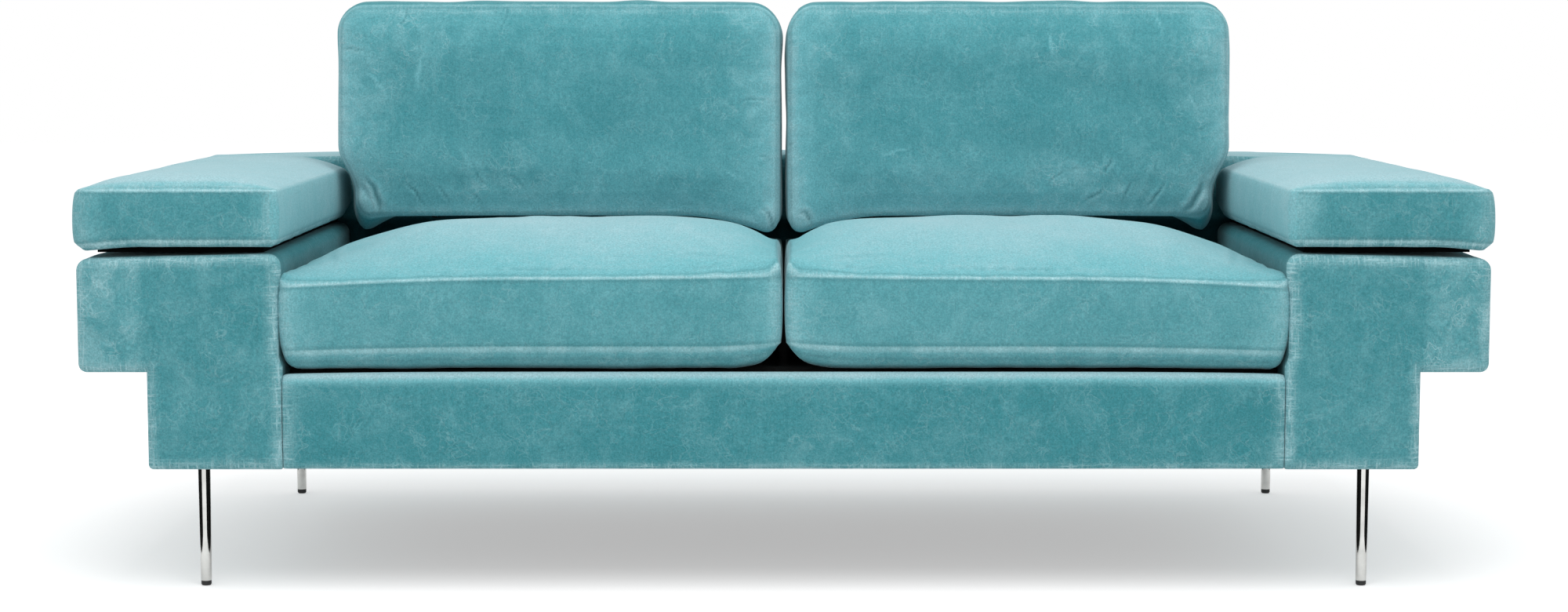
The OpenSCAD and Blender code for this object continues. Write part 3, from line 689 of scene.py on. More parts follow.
def clothCreases(name, halfA, halfB, radii, highAt, seed):
    # Simulated cloth, cut a little larger than the panel, held along its seam and puffed by pressure,
    # creases as it settles. Gives the creases on a grid: its movement, capped, less the running mean.
    lineA, lineB = [
        np.linspace(-half, half, int(2 * half / cloth["spacing"]) + 1) for half in (halfA, halfB)]
    a, b = np.meshgrid(lineA, lineB, indexing="ij")
    distance = np.maximum(insideDistance(a, b, [((-halfA, -halfB), (halfA, halfB), radii)]), 0)
    unrest = cloth["unrest"] * lumps(a, b, cloth["unrestWave"], seed) * rising(distance, cloth["unrestRun"])
    start = highAt(a / halfA, b / halfB, distance) + unrest
    points = np.stack([a, b, start], axis=-1).reshape(-1, 3)
    mesh = bpy.data.meshes.new(name)
    mesh.from_pydata(points.tolist(), [], gridFaces(a.shape).tolist())
    sheet = bpy.data.objects.new(name, mesh)
    bpy.context.scene.collection.objects.link(sheet)
    sheet.vertex_groups.new(name="held").add(np.flatnonzero(distance < 1e-4).tolist(), 1.0, "REPLACE")
    modifier = sheet.modifiers.new("cloth", "CLOTH")
    modifier.collision_settings.use_collision = False
    settings = modifier.settings
    settings.vertex_group_mass = "held"
    settings.use_pressure = True
    settings.uniform_pressure_force = cloth["pressure"]
    settings.effector_weights.gravity = 0
    settings.mass = cloth["mass"]
    settings.tension_stiffness = cloth["tension"]
    settings.compression_stiffness = cloth["tension"]
    settings.bending_stiffness = cloth["bending"]
    settings.shrink_min = -cloth["slack"]
    for step in range(1, cloth["frames"] + 1):
        bpy.context.scene.frame_set(step)
    settled = sheet.evaluated_get(bpy.context.evaluated_depsgraph_get())
    after = np.empty(len(points) * 3)
    settled.data.vertices.foreach_get("co", after)
    moved = (after.reshape(-1, 3) - points)[:, 2].reshape(a.shape)
    moved = np.clip(moved, -cloth["cap"], cloth["cap"])
    bpy.data.objects.remove(sheet)
    bpy.data.meshes.remove(mesh)
    bpy.context.scene.frame_set(1)
    creases = (moved - runningMean(moved, cloth["spread"])) * rising(distance, cloth["seamRun"])
    print("cloth settled:", name, "creases up to %.1f mm" % (np.abs(creases).max() * 1000))
    return lineA, lineB, creases


def readGrid(grid, a, b):
    # The grid's values at (a, b), mixed between the four points around
    lineA, lineB, values = grid
    placeA = np.clip((a - lineA[0]) / (lineA[1] - lineA[0]), 0, len(lineA) - 1.001)
    placeB = np.clip((b - lineB[0]) / (lineB[1] - lineB[0]), 0, len(lineB) - 1.001)
    i, j = placeA.astype(int), placeB.astype(int)
    shareA, shareB = placeA - i, placeB - j
    near = values[i, j] * (1 - shareA) + values[i + 1, j] * shareA
    far = values[i, j + 1] * (1 - shareA) + values[i + 1, j + 1] * shareA
    return near * (1 - shareB) + far * shareB


sewing = {
    "lumpRun": 0.06, "creaseRun": 0.006, "flatRun": 0.004,  # in from the seam
    "lipRun": 0.0025,
    "sideWaves": ((0.16, 1.0), (0.06, 0.4)),  # wavelength and strength
    # How wide the painted highlight along a seam's ridge is
    "seamHighlightWide": 0.0013,
    "seamShadeAt": 0.0045, "seamShadeWide": 0.002, "shadeStrength": 0.30,  # painted shade in the groove beside a seam
    # Painted highlight on the shoulders of creases
    "shoulderHighlight": 0.35,
}


def boxedCushion(form, net, radii, crownOf, underOf, creases, seed, outward=1):
    # The first panel stands crownOf(u, v, distance) over its seam and the second underOf(u, distance)
    # below its own. The boxing swells by (4 t (1 - t))^shape, more or less towards the outer side, and
    # the seams draw in between the corners by 1 - v^2. Waves run off them, and they stand out as lips.
    halfA, halfB, boxing = form["halfA"], form["halfB"], form["boxing"]
    shell = shellOf(net, np.linspace(0, 1, form["rows"] + 1)[1:-1])
    a, b, side, t = shell["a"], shell["b"], shell["side"], shell["t"]
    u, v = a / halfA, b / halfB
    distance = np.maximum(insideDistance(a, b, [((-halfA, -halfB), (halfA, halfB), radii)]), 0)
    distance[side == 1] = 0
    along = np.where(np.abs(u) > np.abs(v), b, a)
    wave = form["pucker"] * ripple(along, form["puckerWave"], seed) * np.exp(-distance / form["puckerRun"])
    wave += form["lump"] * lumps(a, b, form["lumpWave"], seed + 1) * rising(distance, sewing["lumpRun"])
    wave *= rising(distance, sewing["flatRun"])
    dent, paintedShade, paintedHighlight = creaseField(a, b, creases)
    if form["clothShare"]:
        settled = clothCreases("clothPanel%d" % seed, halfA, halfB, radii, crownOf, seed)
        dent = dent + form["clothShare"] * readGrid(settled, a, b)
    high = boxing + crownOf(u, v, distance) + wave + dent * rising(distance, sewing["creaseRun"])
    c = np.where(side == 0, high, np.where(side == 2, wave - underOf(u, distance), boxing * (1 - t)))
    bulge = np.where(side == 1, (4 * t * (1 - t)) ** form["swellShape"], 0)
    seamAway = np.minimum(t, 1 - t) * boxing
    slack = form["sideWave"] * sum(
        strength * ripple(along, length, seed + 2 + n)
        for n, (length, strength) in enumerate(sewing["sideWaves"]))
    swell = form["swell"] + form["swellOut"] * np.clip(u * outward, -1, 1) * np.abs(u) ** 6
    out = (swell + slack) * bulge
    onSeam = (side == 1) | (distance < 1e-6)
    out = out + np.where(onSeam, form["lip"] * np.exp(-(seamAway / sewing["lipRun"]) ** 2), 0)
    x = a * (1 - form["draw"] / halfA * (1 - np.minimum(v * v, 1))) + shell["away"][:, 0] * out
    y = b * (1 - form["draw"] / halfB * (1 - np.minimum(u * u, 1))) + shell["away"][:, 1] * out
    corner = np.hypot(halfA - np.abs(a), halfB - np.abs(b))
    edge = np.where(side == 1, np.minimum(seamAway * form["seamWear"], corner), distance)
    return {
        "a": a, "b": b, "x": x, "y": y, "c": c, "side": side, "faces": shell["faces"], "u": u, "v": v,
        "t": t, "distance": distance, "edge": edge, "corner": corner, "bulge": bulge,
        "seam": np.where(side == 1, seamAway, distance),
        "paintedShade": np.where(side == 0, paintedShade, 0), "paintedHighlight": np.where(side == 0, paintedHighlight, 0),
    }


def pileMasks(made, napAndSheen, crush, wearWidth):
    # Masks for the pile: edge is 0 at a panel's edge and 1 inside, seam is 1 on a seam line, where a
    # highlight is painted, napAndSheen leans from deep to pale with painted sheen and top light, crush
    # brings out the veins and foldShade is painted shade, 1 deep in a crease
    zero = np.zeros(made["edge"].shape)
    seam = made.get("seam", zero + 1)
    beside = np.exp(-((seam - sewing["seamShadeAt"]) / sewing["seamShadeWide"]) ** 2)
    return {
        "edge": rising(made["edge"], wearWidth),
        "seam": falling(seam, sewing["seamHighlightWide"]),
        "napAndSheen": napAndSheen + sewing["shoulderHighlight"] * made.get("paintedHighlight", zero),
        "crush": zero + crush,
        "foldShade": made.get("paintedShade", zero) + sewing["shadeStrength"] * beside,
    }


# Zips

zipper = {
    "tape": 0.012, "tapeThick": 0.0008, "tapeLift": 0.0012,
    # Lines along the tape, as shares of its width
    "tapeLines": (-0.5, -0.5, -0.36, -0.19, -0.175, -0.06, 0.06, 0.175, 0.19, 0.36, 0.5, 0.5),
    "hemDrop": -0.001,
    "tooth": 0.0030, "toothWide": 0.0042, "toothHigh": 0.0011, "toothPower": 0.7,
    "sliderInset": 0.014, "sliderZ": 0.002, "sliderPower": 0.5,
    "sliderHalf": (0.0045, 0.00375, 0.0022),
    "pullInset": 0.008, "pullZ": 0.0046, "pullPower": 0.35,
    "pullHalf": (0.010, 0.0020, 0.0006),
}


def zipTape(length, placeOf):
    # The tape and its row of teeth as one surface: height over the boxing is a bump of |sin| along
    # the zip inside the tooth width, and the tape outside it. placeOf gives the world point of
    # (along, across, height).
    count = int(length / zipper["tooth"]) * 6
    s, w = np.meshgrid(
        np.linspace(-length / 2, length / 2, count + 1),
        np.array(zipper["tapeLines"]) * zipper["tape"], indexing="ij")
    teeth = zipper["toothHigh"] * np.abs(np.sin(np.pi * s / zipper["tooth"])) ** zipper["toothPower"]
    height = zipper["tapeThick"] + teeth * (np.abs(w) < zipper["toothWide"] / 2 + 1e-4)
    height[:, [0, -1]] = zipper["hemDrop"]
    return placeOf(s, w, height).reshape(-1, 3), gridFaces(s.shape)


def pebble(middle, half, power, turns=20):
    # A rounded block: each of its axes is a power of sine and cosine over latitude and longitude
    lat, lon = np.meshgrid(
        np.linspace(-np.pi / 2, np.pi / 2, turns // 2 + 1), np.linspace(-np.pi, np.pi, turns + 1),
        indexing="ij")

    def bow(value):
        return np.sign(value) * np.abs(value) ** power

    return [
        middle[0] + half[0] * bow(np.cos(lat)) * bow(np.cos(lon)),
        middle[1] + half[1] * bow(np.cos(lat)) * bow(np.sin(lon)),
        middle[2] + half[2] * bow(np.sin(lat))]


def buildZip(name, body, node, length, placeOf):
    sliderAt = -length / 2 + zipper["sliderInset"]
    slider = pebble((sliderAt, 0, zipper["sliderZ"]), zipper["sliderHalf"], zipper["sliderPower"])
    pull = pebble(
        (sliderAt + zipper["pullInset"], 0, zipper["pullZ"]), zipper["pullHalf"], zipper["pullPower"])
    points, faces = zipTape(length, placeOf)
    for part in (slider, pull):
        faces = np.concatenate([faces, gridFaces(part[0].shape, len(points))])
        points = np.concatenate([points, placeOf(*part).reshape(-1, 3)])
    piece = makePiece(name, points, faces, zipMetal)
    dress(piece, body, node)


# Seat cushions

seat = {
    "boxing": 0.0965,  # height between the seams, at the middle
    "crown": 0.067,
    "outerPower": 3.5, "innerPower": 6.0,  # how late the crown falls towards each side
    "frontPower": 2.2, "rearPower": 1.15,
    "outerPuff": 0.018, "innerPuff": 0.024,  # the top panel's fullness right beside each side seam
    "puffRun": 0.006, "puffFade": 0.050, "puffStart": 0.026,
    "belly": 0.031,  # depth of the underside below the lower seam
    "bellyRun": 0.032, "innerRun": 0.076,
    "peak": 0.36,  # where the crown is highest, as a share of the depth
    "outerDip": (0.012, 0.006),  # how far the upper and lower seams fall at the outer end
    "innerRise": (0.004, 0.006),  # and how far they rise at the inner end
    "innerFrom": 0.7,
    "widen": 0.0026,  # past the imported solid, where it presses on the arm
    "frontSpread": (0.0110, 0.0050),  # the outer front corner swells before the arm, high and low
    "spreadRun": 0.070,
    "swell": 0.0040, "swellOut": 0.0, "swellShape": 0.45,
    "draw": 0.0015, "lip": 0.0012, "sideWave": 0.0007,
    "radii": [0.018, 0.016, 0.030, 0.030],  # near inner, near outer, far outer, far inner
    "pucker": 0.0009, "puckerWave": 0.060, "puckerRun": 0.018,
    "lump": 0.0016, "lumpWave": 0.19,
    "rows": 22, "fine": 0.0018, "coarse": 0.0055,
    "clothShare": 0.35,  # of the simulated creases
    "wearWidth": 0.026, "seamWear": 5.0, "topWear": 5.0,  # the last two narrow the wear
    "topPaintedSheen": (0.42, 0.42), "topSheenRun": 0.19, "topSheenPower": 0.55,  # painted sheen and top light on the top: at the seam, and more inside
    "boxingNap": 0.26, "endNap": 0.26, "underNap": 0.30,
    "boxingCrush": 0.10, "endCrush": 0.35, "underCrush": 0.30, "endRun": 0.050,
    "zipLength": 0.500, "zipMiddle": 0.047,  # above the lower seam
    "fill": 0.85,
    # Shallow lines across the top panel beside its front seam, and on the crown
    "creases": [
        (-0.190, -0.316, 0.150, -0.324, 0.002, 0.0024, 0.0022),
        (-0.300, -0.322, -0.200, -0.318, 0.001, 0.0022, 0.0016),
        (-0.290, -0.300, -0.190, -0.285, 0.004, 0.0060, 0.0012),
        (0.270, -0.290, 0.300, -0.120, -0.006, 0.0080, 0.0016),
    ],
}


def buildSeatCushions():
    for name, body, sign, seed in (("left", "left_seat", -1, 11), ("right", "right_seat", 1, 23)):
        low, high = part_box(name + "_seat_cushion")
        form = dict(seat, halfA=(high[0] - low[0]) / 2 + seat["widen"] - seat["swell"])
        form["halfB"] = (high[1] - low[1]) / 2 - seat["swell"]
        net, radii = cushionNet(form, mirrored=sign < 0)
        middle = np.array([(low[0] + high[0]) / 2, (low[1] + high[1]) / 2])
        lower = low[2] + seat["belly"]

        def crownOf(u, v, distance):
            # crown (1 - |u|^n) times a rise, full at the peak and falling towards the back, with a
            # puff beside the side seams that fades inwards
            depth = (v + 1) / 2
            climb = 1 - np.abs(1 - np.minimum(depth, seat["peak"]) / seat["peak"]) ** seat["frontPower"]
            fall = rising(depth - seat["peak"], 1 - seat["peak"]) ** seat["rearPower"]
            rise = np.where(depth < seat["peak"], climb, 1 - fall)
            outer = u * sign > 0
            power = np.where(outer, seat["outerPower"], seat["innerPower"])
            away = form["halfA"] * (1 - np.minimum(np.abs(u), 1))
            puff = np.where(outer, seat["outerPuff"], seat["innerPuff"]) * rollUp(away, seat["puffRun"])
            puff = puff * np.exp(-away / seat["puffFade"])
            puff = puff * rollUp(form["halfB"] * (1 + v), seat["puffStart"])
            return seat["crown"] * (1 - np.minimum(np.abs(u), 1) ** power) * rise + puff * (1 - fall)

        def underOf(u, distance):
            # Quarter ellipses in from the lower seam, a long one at the inner side, then flat
            inner = form["halfA"] * (1 + u * sign)
            return seat["belly"] * rollUp(distance, seat["bellyRun"]) * rollUp(inner, seat["innerRun"])

        def seamShift(u, share):
            # How far the seams lie off their height, where share is 0 at the upper seam and 1 at the
            # lower: squares of u, or a late rise at the lower inner end
            outer, inner = np.clip(u * sign, 0, 1), np.clip(-u * sign, 0, 1)
            top = -seat["outerDip"][0] * outer ** 2 + seat["innerRise"][0] * inner ** 2
            late = rising(inner - seat["innerFrom"], 1 - seat["innerFrom"]) ** 1.5
            foot = -seat["outerDip"][1] * outer ** 2 + seat["innerRise"][1] * late
            return top * (1 - share) + foot * share

        creases = [(sign * a0, b0, sign * a1, b1, sign * bow, width, deep)
                   for a0, b0, a1, b1, bow, width, deep in seat["creases"]]
        made = boxedCushion(form, net, radii, crownOf, underOf, creases, seed, sign)
        onTop, under = made["side"] == 0, made["side"] == 2
        share = np.where(onTop, 0, np.where(under, 1, made["t"]))
        shift = seamShift(made["u"], share) * np.where(under, falling(made["distance"], seat["bellyRun"]), 1)
        z = lower + np.maximum(made["c"], -seat["belly"]) + shift
        highSpread, lowSpread = seat["frontSpread"]
        spread = (highSpread + (lowSpread - highSpread) * share ** 3) * np.clip(made["u"] * sign, 0, 1) ** 4
        x = made["x"] + sign * spread * np.exp(-((made["y"] + form["halfB"]) / seat["spreadRun"]) ** 2)
        ends = falling(made["corner"], seat["endRun"])
        inwards = rising(made["distance"], seat["topSheenRun"]) ** seat["topSheenPower"]
        topPaintedSheen = seat["topPaintedSheen"][0] + seat["topPaintedSheen"][1] * inwards
        boxingNap = np.where(under, seat["underNap"], seat["boxingNap"] + seat["endNap"] * ends)
        boxingCrush = np.where(under, seat["underCrush"], seat["boxingCrush"] + seat["endCrush"] * ends)
        wearEdge = np.where(onTop, made["distance"] * seat["topWear"], made["edge"])
        made["edge"] = np.where(under, 1.0, wearEdge)
        points = np.stack([x + middle[0], made["y"] + middle[1], z], axis=1)
        masks = pileMasks(
            made, np.where(onTop, topPaintedSheen, boxingNap), np.where(onTop, 0.0, boxingCrush), seat["wearWidth"])
        piece = makePiece(name + "SeatCushion", points, made["faces"], velvetWorn, masks)
        dress(piece, body, name + "_seat_cushion")

        def onBoxing(s, w, height):
            # The rear boxing: its swell at this height, drawn in by 1 - u^2
            t = 1 - (seat["zipMiddle"] + w) / seat["boxing"]
            u = s / form["halfA"]
            y = form["halfB"] - form["draw"] * (1 - u * u)
            y = y + form["swell"] * (4 * t * (1 - t)) ** seat["swellShape"]
            return np.stack([
                middle[0] + s, middle[1] + y + height + zipper["tapeLift"],
                lower + seat["zipMiddle"] + w + seamShift(u, t)], axis=-1)

        buildZip(name + "SeatZip", body, name + "_seat_zip", seat["zipLength"], onBoxing)
    print("seat cushions built")


# Back cushions

back = {
    "width": 0.6735, "height": 0.322,  # of the front seam
    "gap": 0.0080,  # from the middle of the sofa to the front seam
    "depth": 0.605, "middleZ": 0.6388, "lean": 5.0,
    "boxing": 0.150,
    "crown": 0.034,
    "under": 0.014, "underRun": 0.050,
    "swell": 0.0065, "swellOut": 0.0020, "swellShape": 0.60,
    "draw": -0.0010, "lip": 0.0008, "sideWave": 0.0008,
    "topSwell": 0.0060,
    "radii": [0.026, 0.028, 0.038, 0.042],  # low inner, low outer, top outer, top inner
    "pucker": 0.0010, "puckerWave": 0.045, "puckerRun": 0.016,
    "lump": 0.0022, "lumpWave": 0.15,
    "rows": 24, "fine": 0.0018, "coarse": 0.0034,
    "edgeRound": 0.034, "edgeHigh": 0.017,
    "arch": 0.003,  # of the lower seam
    "innerDroop": 0.033, "droopFrom": 0.55,  # of the lower inner corner, past the seat's crown
    "hang": 0.027, "hangFrom": 0.78, "hangRun": 0.18,  # of the boxing below the lower outer corner
    "underLift": 0.0075, "lowFrom": 0.65, "lowRun": 0.30,  # the boxing is pressed flat below
    "underRise": 0.006,  # towards the rear
    "pinch": 0.026, "pinchTop": 0.588, "pinchFull": 0.515, "pinchRear": 0.25,  # beside the arm pad
    "clothShare": 0.55,
    "wearWidth": 0.020, "seamWear": 3.0, "topWear": 0.010,
    "seamQuiet": 0.0008,  # thins the painted highlight along the seam
    "frontNap": 0.17, "lowNap": 0.28,  # and how much more towards the lower seam
    # rimRubAndSheen pales the front towards its seams, partly rubbed pile and partly painted sheen where it
    # rolls over; topPaintedSheen is painted top light on the top boxing
    "rimRubAndSheen": 0.20, "rimRun": 0.045, "rimTopLess": 0.8,
    "sideNap": 0.30, "topPaintedSheen": 0.0, "underNap": 0.04, "wallNap": 0.22,
    "crush": 0.05, "patchCrush": 0.8, "wallCrush": 0.1,
    "zipLength": 0.440,
    "fill": 0.8,
    # Creases from and to (across from the middle, up from the middle), bow, width and depth
    "leftCreases": [
        (-0.0765, 0.158, -0.087, 0.124, 0.001, 0.0022, 0.0030),
        (-0.230, 0.158, -0.244, 0.124, 0.001, 0.0022, 0.0030),
        (-0.334, 0.095, -0.285, 0.086, 0.003, 0.0028, 0.0035),
        (-0.246, -0.107, -0.210, -0.151, 0.004, 0.0030, 0.0050),
        (-0.191, -0.112, -0.170, -0.147, 0.003, 0.0028, 0.0045),
        (-0.137, -0.125, -0.118, -0.147, 0.002, 0.0026, 0.0035),
        (-0.152, -0.055, -0.136, -0.089, 0.003, 0.0030, -0.0020),
        (-0.130, -0.085, -0.105, -0.120, -0.004, 0.0028, 0.0028),
        (-0.085, -0.095, -0.048, -0.128, 0.006, 0.0030, 0.0024),
        (-0.314, -0.102, -0.292, -0.160, 0.006, 0.0060, 0.0080),
        (0.277, 0.018, 0.340, 0.012, 0.002, 0.0024, 0.0034),
        (0.293, -0.066, 0.330, -0.068, 0.001, 0.0022, 0.0030),
        (0.309, -0.130, 0.330, -0.158, 0.005, 0.0036, 0.0060),
        (0.248, -0.087, 0.287, -0.105, 0.001, 0.0024, -0.0014),
        (0.170, -0.142, 0.236, -0.148, 0.002, 0.0022, 0.0016),
        (-0.300, 0.060, -0.262, 0.020, 0.006, 0.0040, -0.0016),
        (-0.200, 0.100, -0.214, 0.020, -0.005, 0.0040, -0.0014),
    ],
    "rightCreases": [
        (0.025, -0.062, 0.029, -0.113, 0.001, 0.0026, 0.0026),
        (0.058, -0.117, 0.085, -0.093, 0.003, 0.0026, 0.0030),
        (0.085, -0.093, 0.122, -0.091, 0.002, 0.0026, 0.0028),
        (0.142, -0.101, 0.156, -0.070, -0.002, 0.0036, 0.0036),
        (0.114, -0.143, 0.149, -0.123, 0.002, 0.0034, 0.0040),
        (0.176, -0.141, 0.189, -0.104, -0.002, 0.0030, 0.0044),
        (0.215, -0.150, 0.245, -0.111, -0.003, 0.0036, 0.0048),
        (0.219, -0.063, 0.228, -0.101, 0.003, 0.0026, 0.0020),
        (0.283, -0.158, 0.318, -0.106, -0.007, 0.0070, 0.0080),
        (-0.326, -0.134, -0.300, -0.158, 0.006, 0.0036, 0.0062),
        (-0.323, -0.067, -0.309, -0.067, 0.001, 0.0020, 0.0030),
        (-0.341, 0.019, -0.320, 0.017, 0.001, 0.0020, 0.0030),
        (-0.341, -0.050, -0.322, -0.046, 0.001, 0.0022, 0.0034),
        (-0.198, -0.073, -0.145, -0.057, 0.002, 0.0026, -0.0014),
        (-0.175, -0.078, -0.115, -0.109, 0.004, 0.0026, 0.0016),
        (0.272, 0.132, 0.325, 0.128, -0.004, 0.0026, -0.0016),
        (0.295, 0.128, 0.306, 0.094, 0.003, 0.0026, -0.0016),
        (0.265, 0.096, 0.314, 0.085, -0.004, 0.0026, 0.0022),
        (0.057, 0.124, 0.066, 0.076, 0.001, 0.0030, -0.0018),
        (0.220, 0.158, 0.235, 0.104, 0.002, 0.0026, -0.0018),
        (0.271, 0.026, 0.285, 0.000, 0.001, 0.0024, -0.0016),
    ],
    # Crushed patches: middle, half sizes, strength
    "leftPatches": [
        (-0.085, -0.115, 0.070, 0.045, 0.75), (-0.290, 0.00, 0.050, 0.16, 0.55),
        (-0.250, 0.110, 0.090, 0.060, 0.40), (0.290, 0.060, 0.060, 0.12, 0.45),
        (0.100, -0.130, 0.160, 0.030, 0.35)],
    "rightPatches": [
        (0.150, -0.120, 0.150, 0.050, 0.75), (0.300, 0.040, 0.050, 0.14, 0.55),
        (0.090, 0.110, 0.080, 0.050, 0.40), (-0.290, 0.060, 0.060, 0.12, 0.35),
        (-0.120, -0.120, 0.120, 0.040, 0.35)],
}


def backCrown(u, v, distance):
    # crown (1 - |u|^4) (1 - |v|^3.4), never below a quarter ellipse at the seam
    full = back["crown"] * (1 - np.abs(u) ** 4) * (1 - np.abs(v) ** 3.4)
    quarter = back["edgeHigh"] * rollUp(distance, back["edgeRound"])
    return quarter + full * (1 - back["edgeHigh"] / back["crown"]) * rising(distance, back["edgeRound"])


def backUnder(u, distance):
    # A parabola in from the rear seam, then flat
    return back["under"] * (1 - falling(distance, back["underRun"]) ** 2)


def buildBackCushions():
    lean = math.radians(back["lean"])
    right = np.array([1.0, 0, 0])
    up = np.array([0, math.sin(lean), math.cos(lean)])
    ahead = np.array([0, -math.cos(lean), math.sin(lean)])
    for name, body, sign, seed in (("left", "left_back", -1, 37), ("right", "right_back", 1, 59)):
        form = dict(back, halfA=back["width"] / 2, halfB=back["height"] / 2)
        net, radii = cushionNet(form, mirrored=sign < 0)
        made = boxedCushion(
            form, net, radii, backCrown, backUnder, back[name + "Creases"], seed, sign)
        centre = np.array([
            sign * (back["gap"] + back["width"] / 2), frontY + back["depth"], back["middleZ"]])

        def placeAt(x, y, c, u, v, bulge):
            # The lower inner corner droops by |u| past droopFrom, the boxing hangs below the lower
            # outer corner, and the front narrows where the arm pad presses on it
            outer, inner = np.clip(u * sign, 0, 1), np.clip(-u * sign, 0, 1)
            below = rising(-v - 0.1, 0.9) ** 1.5
            droop = (back["innerDroop"] * rising(inner - back["droopFrom"], 1 - back["droopFrom"]) ** 2
                     - back["arch"] * (1 - np.minimum(u * u, 1))) * below
            lowest = rising(-v - back["lowFrom"], back["lowRun"])
            hang = back["hang"] * rising(outer - back["hangFrom"], back["hangRun"]) ** 1.3
            droop = droop + bulge * lowest * (hang - back["underLift"])
            droop = droop - back["underRise"] * lowest * falling(c, back["boxing"])
            lift = back["topSwell"] * bulge * rising(v - 0.8, 0.2)
            squeeze = rising(back["pinchTop"] - back["middleZ"] - y, back["pinchTop"] - back["pinchFull"])
            squeeze = squeeze ** 2 * (3 - 2 * squeeze) * outer ** 3
            x = x - sign * back["pinch"] * squeeze * np.clip(c / back["boxing"] + back["pinchRear"], 0, 1)
            place = x[..., None] * right + (y - droop + lift)[..., None] * up
            return centre + place + (c - back["boxing"] / 2)[..., None] * ahead

        points = placeAt(made["x"], made["y"], made["c"], made["u"], made["v"], made["bulge"])
        front, high = made["side"] == 0, made["v"]
        rim = back["rimRubAndSheen"] * falling(made["distance"], back["rimRun"]) * (
            1 - back["rimTopLess"] * rising(high - 0.6, 0.3))
        sides = back["sideNap"] * rising(np.abs(made["u"]) - 0.70, 0.30) ** 1.5
        frontNap = back["frontNap"] + rim + sides + back["lowNap"] * np.maximum(-high - 0.2, 0)
        wallNap = np.where(high > 0.9, back["topPaintedSheen"], back["wallNap"])
        wallNap = np.where(high < -0.9, back["underNap"], wallNap)
        napAndSheen = np.where(front, frontNap, np.where(made["side"] == 1, wallNap, back["wallNap"]))
        made["seam"] = made["seam"] + back["seamQuiet"]
        made["edge"] = np.where(high > 0.8, np.maximum(made["edge"], back["topWear"]), made["edge"])
        patches = spots(made["a"], made["b"], back[name + "Patches"])
        crush = np.where(front, back["crush"] + back["patchCrush"] * patches, back["wallCrush"])
        masks = pileMasks(made, napAndSheen, crush, back["wearWidth"])
        piece = makePiece(name + "BackCushion", points, made["faces"], velvetWorn, masks)
        dress(piece, body, name + "_back_cushion")

        def onUnderside(s, w, height):
            # The lower boxing: its swell at this depth, drawn in by 1 - u^2
            t = 0.5 - w / back["boxing"]
            u = s / form["halfA"]
            bulge = (4 * t * (1 - t)) ** form["swellShape"]
            y = form["halfB"] - form["draw"] * (1 - u * u) + form["swell"] * bulge
            return placeAt(
                s, -(y + height + zipper["tapeLift"]), back["boxing"] * (1 - t), u, -np.ones_like(s), bulge)

        buildZip(name + "BackZip", body, name + "_back_zip", back["zipLength"], onUnderside)
    print("back cushions built")


# Arm pads

pad = {
    "inner": 0.691, "outer": 0.960, "length": 0.683,  # of the seams
    "bottomGap": 0.008,  # from the plinth's top to the lower seam
    "boxing": 0.070, "crown": 0.0195,
    "acrossPower": 3.5, "alongPower": 16,  # how late the crown falls towards each end
    "bellyRun": 0.009,
    "sag": 0.0065, "sagFrom": 0.375, "footOut": 0.003,  # of the outer end's lower edge
    "footLift": 0.001,  # what lies lower stays on the plinth
    "swell": 0.0080, "swellOut": 0.0022, "swellShape": 0.36,
    "draw": 0.0006, "lip": 0.0010, "sideWave": 0.0002,
    "rearThin": 0.55, "rearRun": 0.075,
    "frontFlat": 0.45,  # how much less the front swells than the sides
    "radii": [0.007, 0.022, 0.032, 0.032],  # near inner, near outer, far outer, far inner
    "pucker": 0.0005, "puckerWave": 0.070, "puckerRun": 0.012,
    "lump": 0.0007, "lumpWave": 0.14,
    "rows": 18, "fine": 0.0016, "coarse": 0.0060,
    "clothShare": 0.0,
    "wearWidth": 0.024, "seamWear": 4.0, "lowWear": 0.014,
    "topPaintedSheen": (0.42, 0.52), "topSheenRun": 0.020,  # painted sheen and top light on the top: at the front seam, and how much more behind it
    "innerNap": (0.66, -0.16),  # at the upper seam, and how much more at the lower
    "boxingNap": (0.13, 0.30), "frontCrush": (0.12, 0.5),  # and how much more at the front's ends
    "endRun": 0.045,
    "seamShade": 0.8, "shadeRun": 0.0016,  # beside the inner seams
    "fill": 0.9,
}


def padCrown(u, v, distance):
    # crown (1 - |u|^3.5) (1 - |v|^16): nearly flat, with a quick roll at the ends
    across = 1 - np.minimum(np.abs(u), 1) ** pad["acrossPower"]
    return pad["crown"] * (across * (1 - np.minimum(np.abs(v), 1) ** pad["alongPower"]))


def padUnder(u, distance):
    return pad["bottomGap"] * rollUp(distance, pad["bellyRun"])


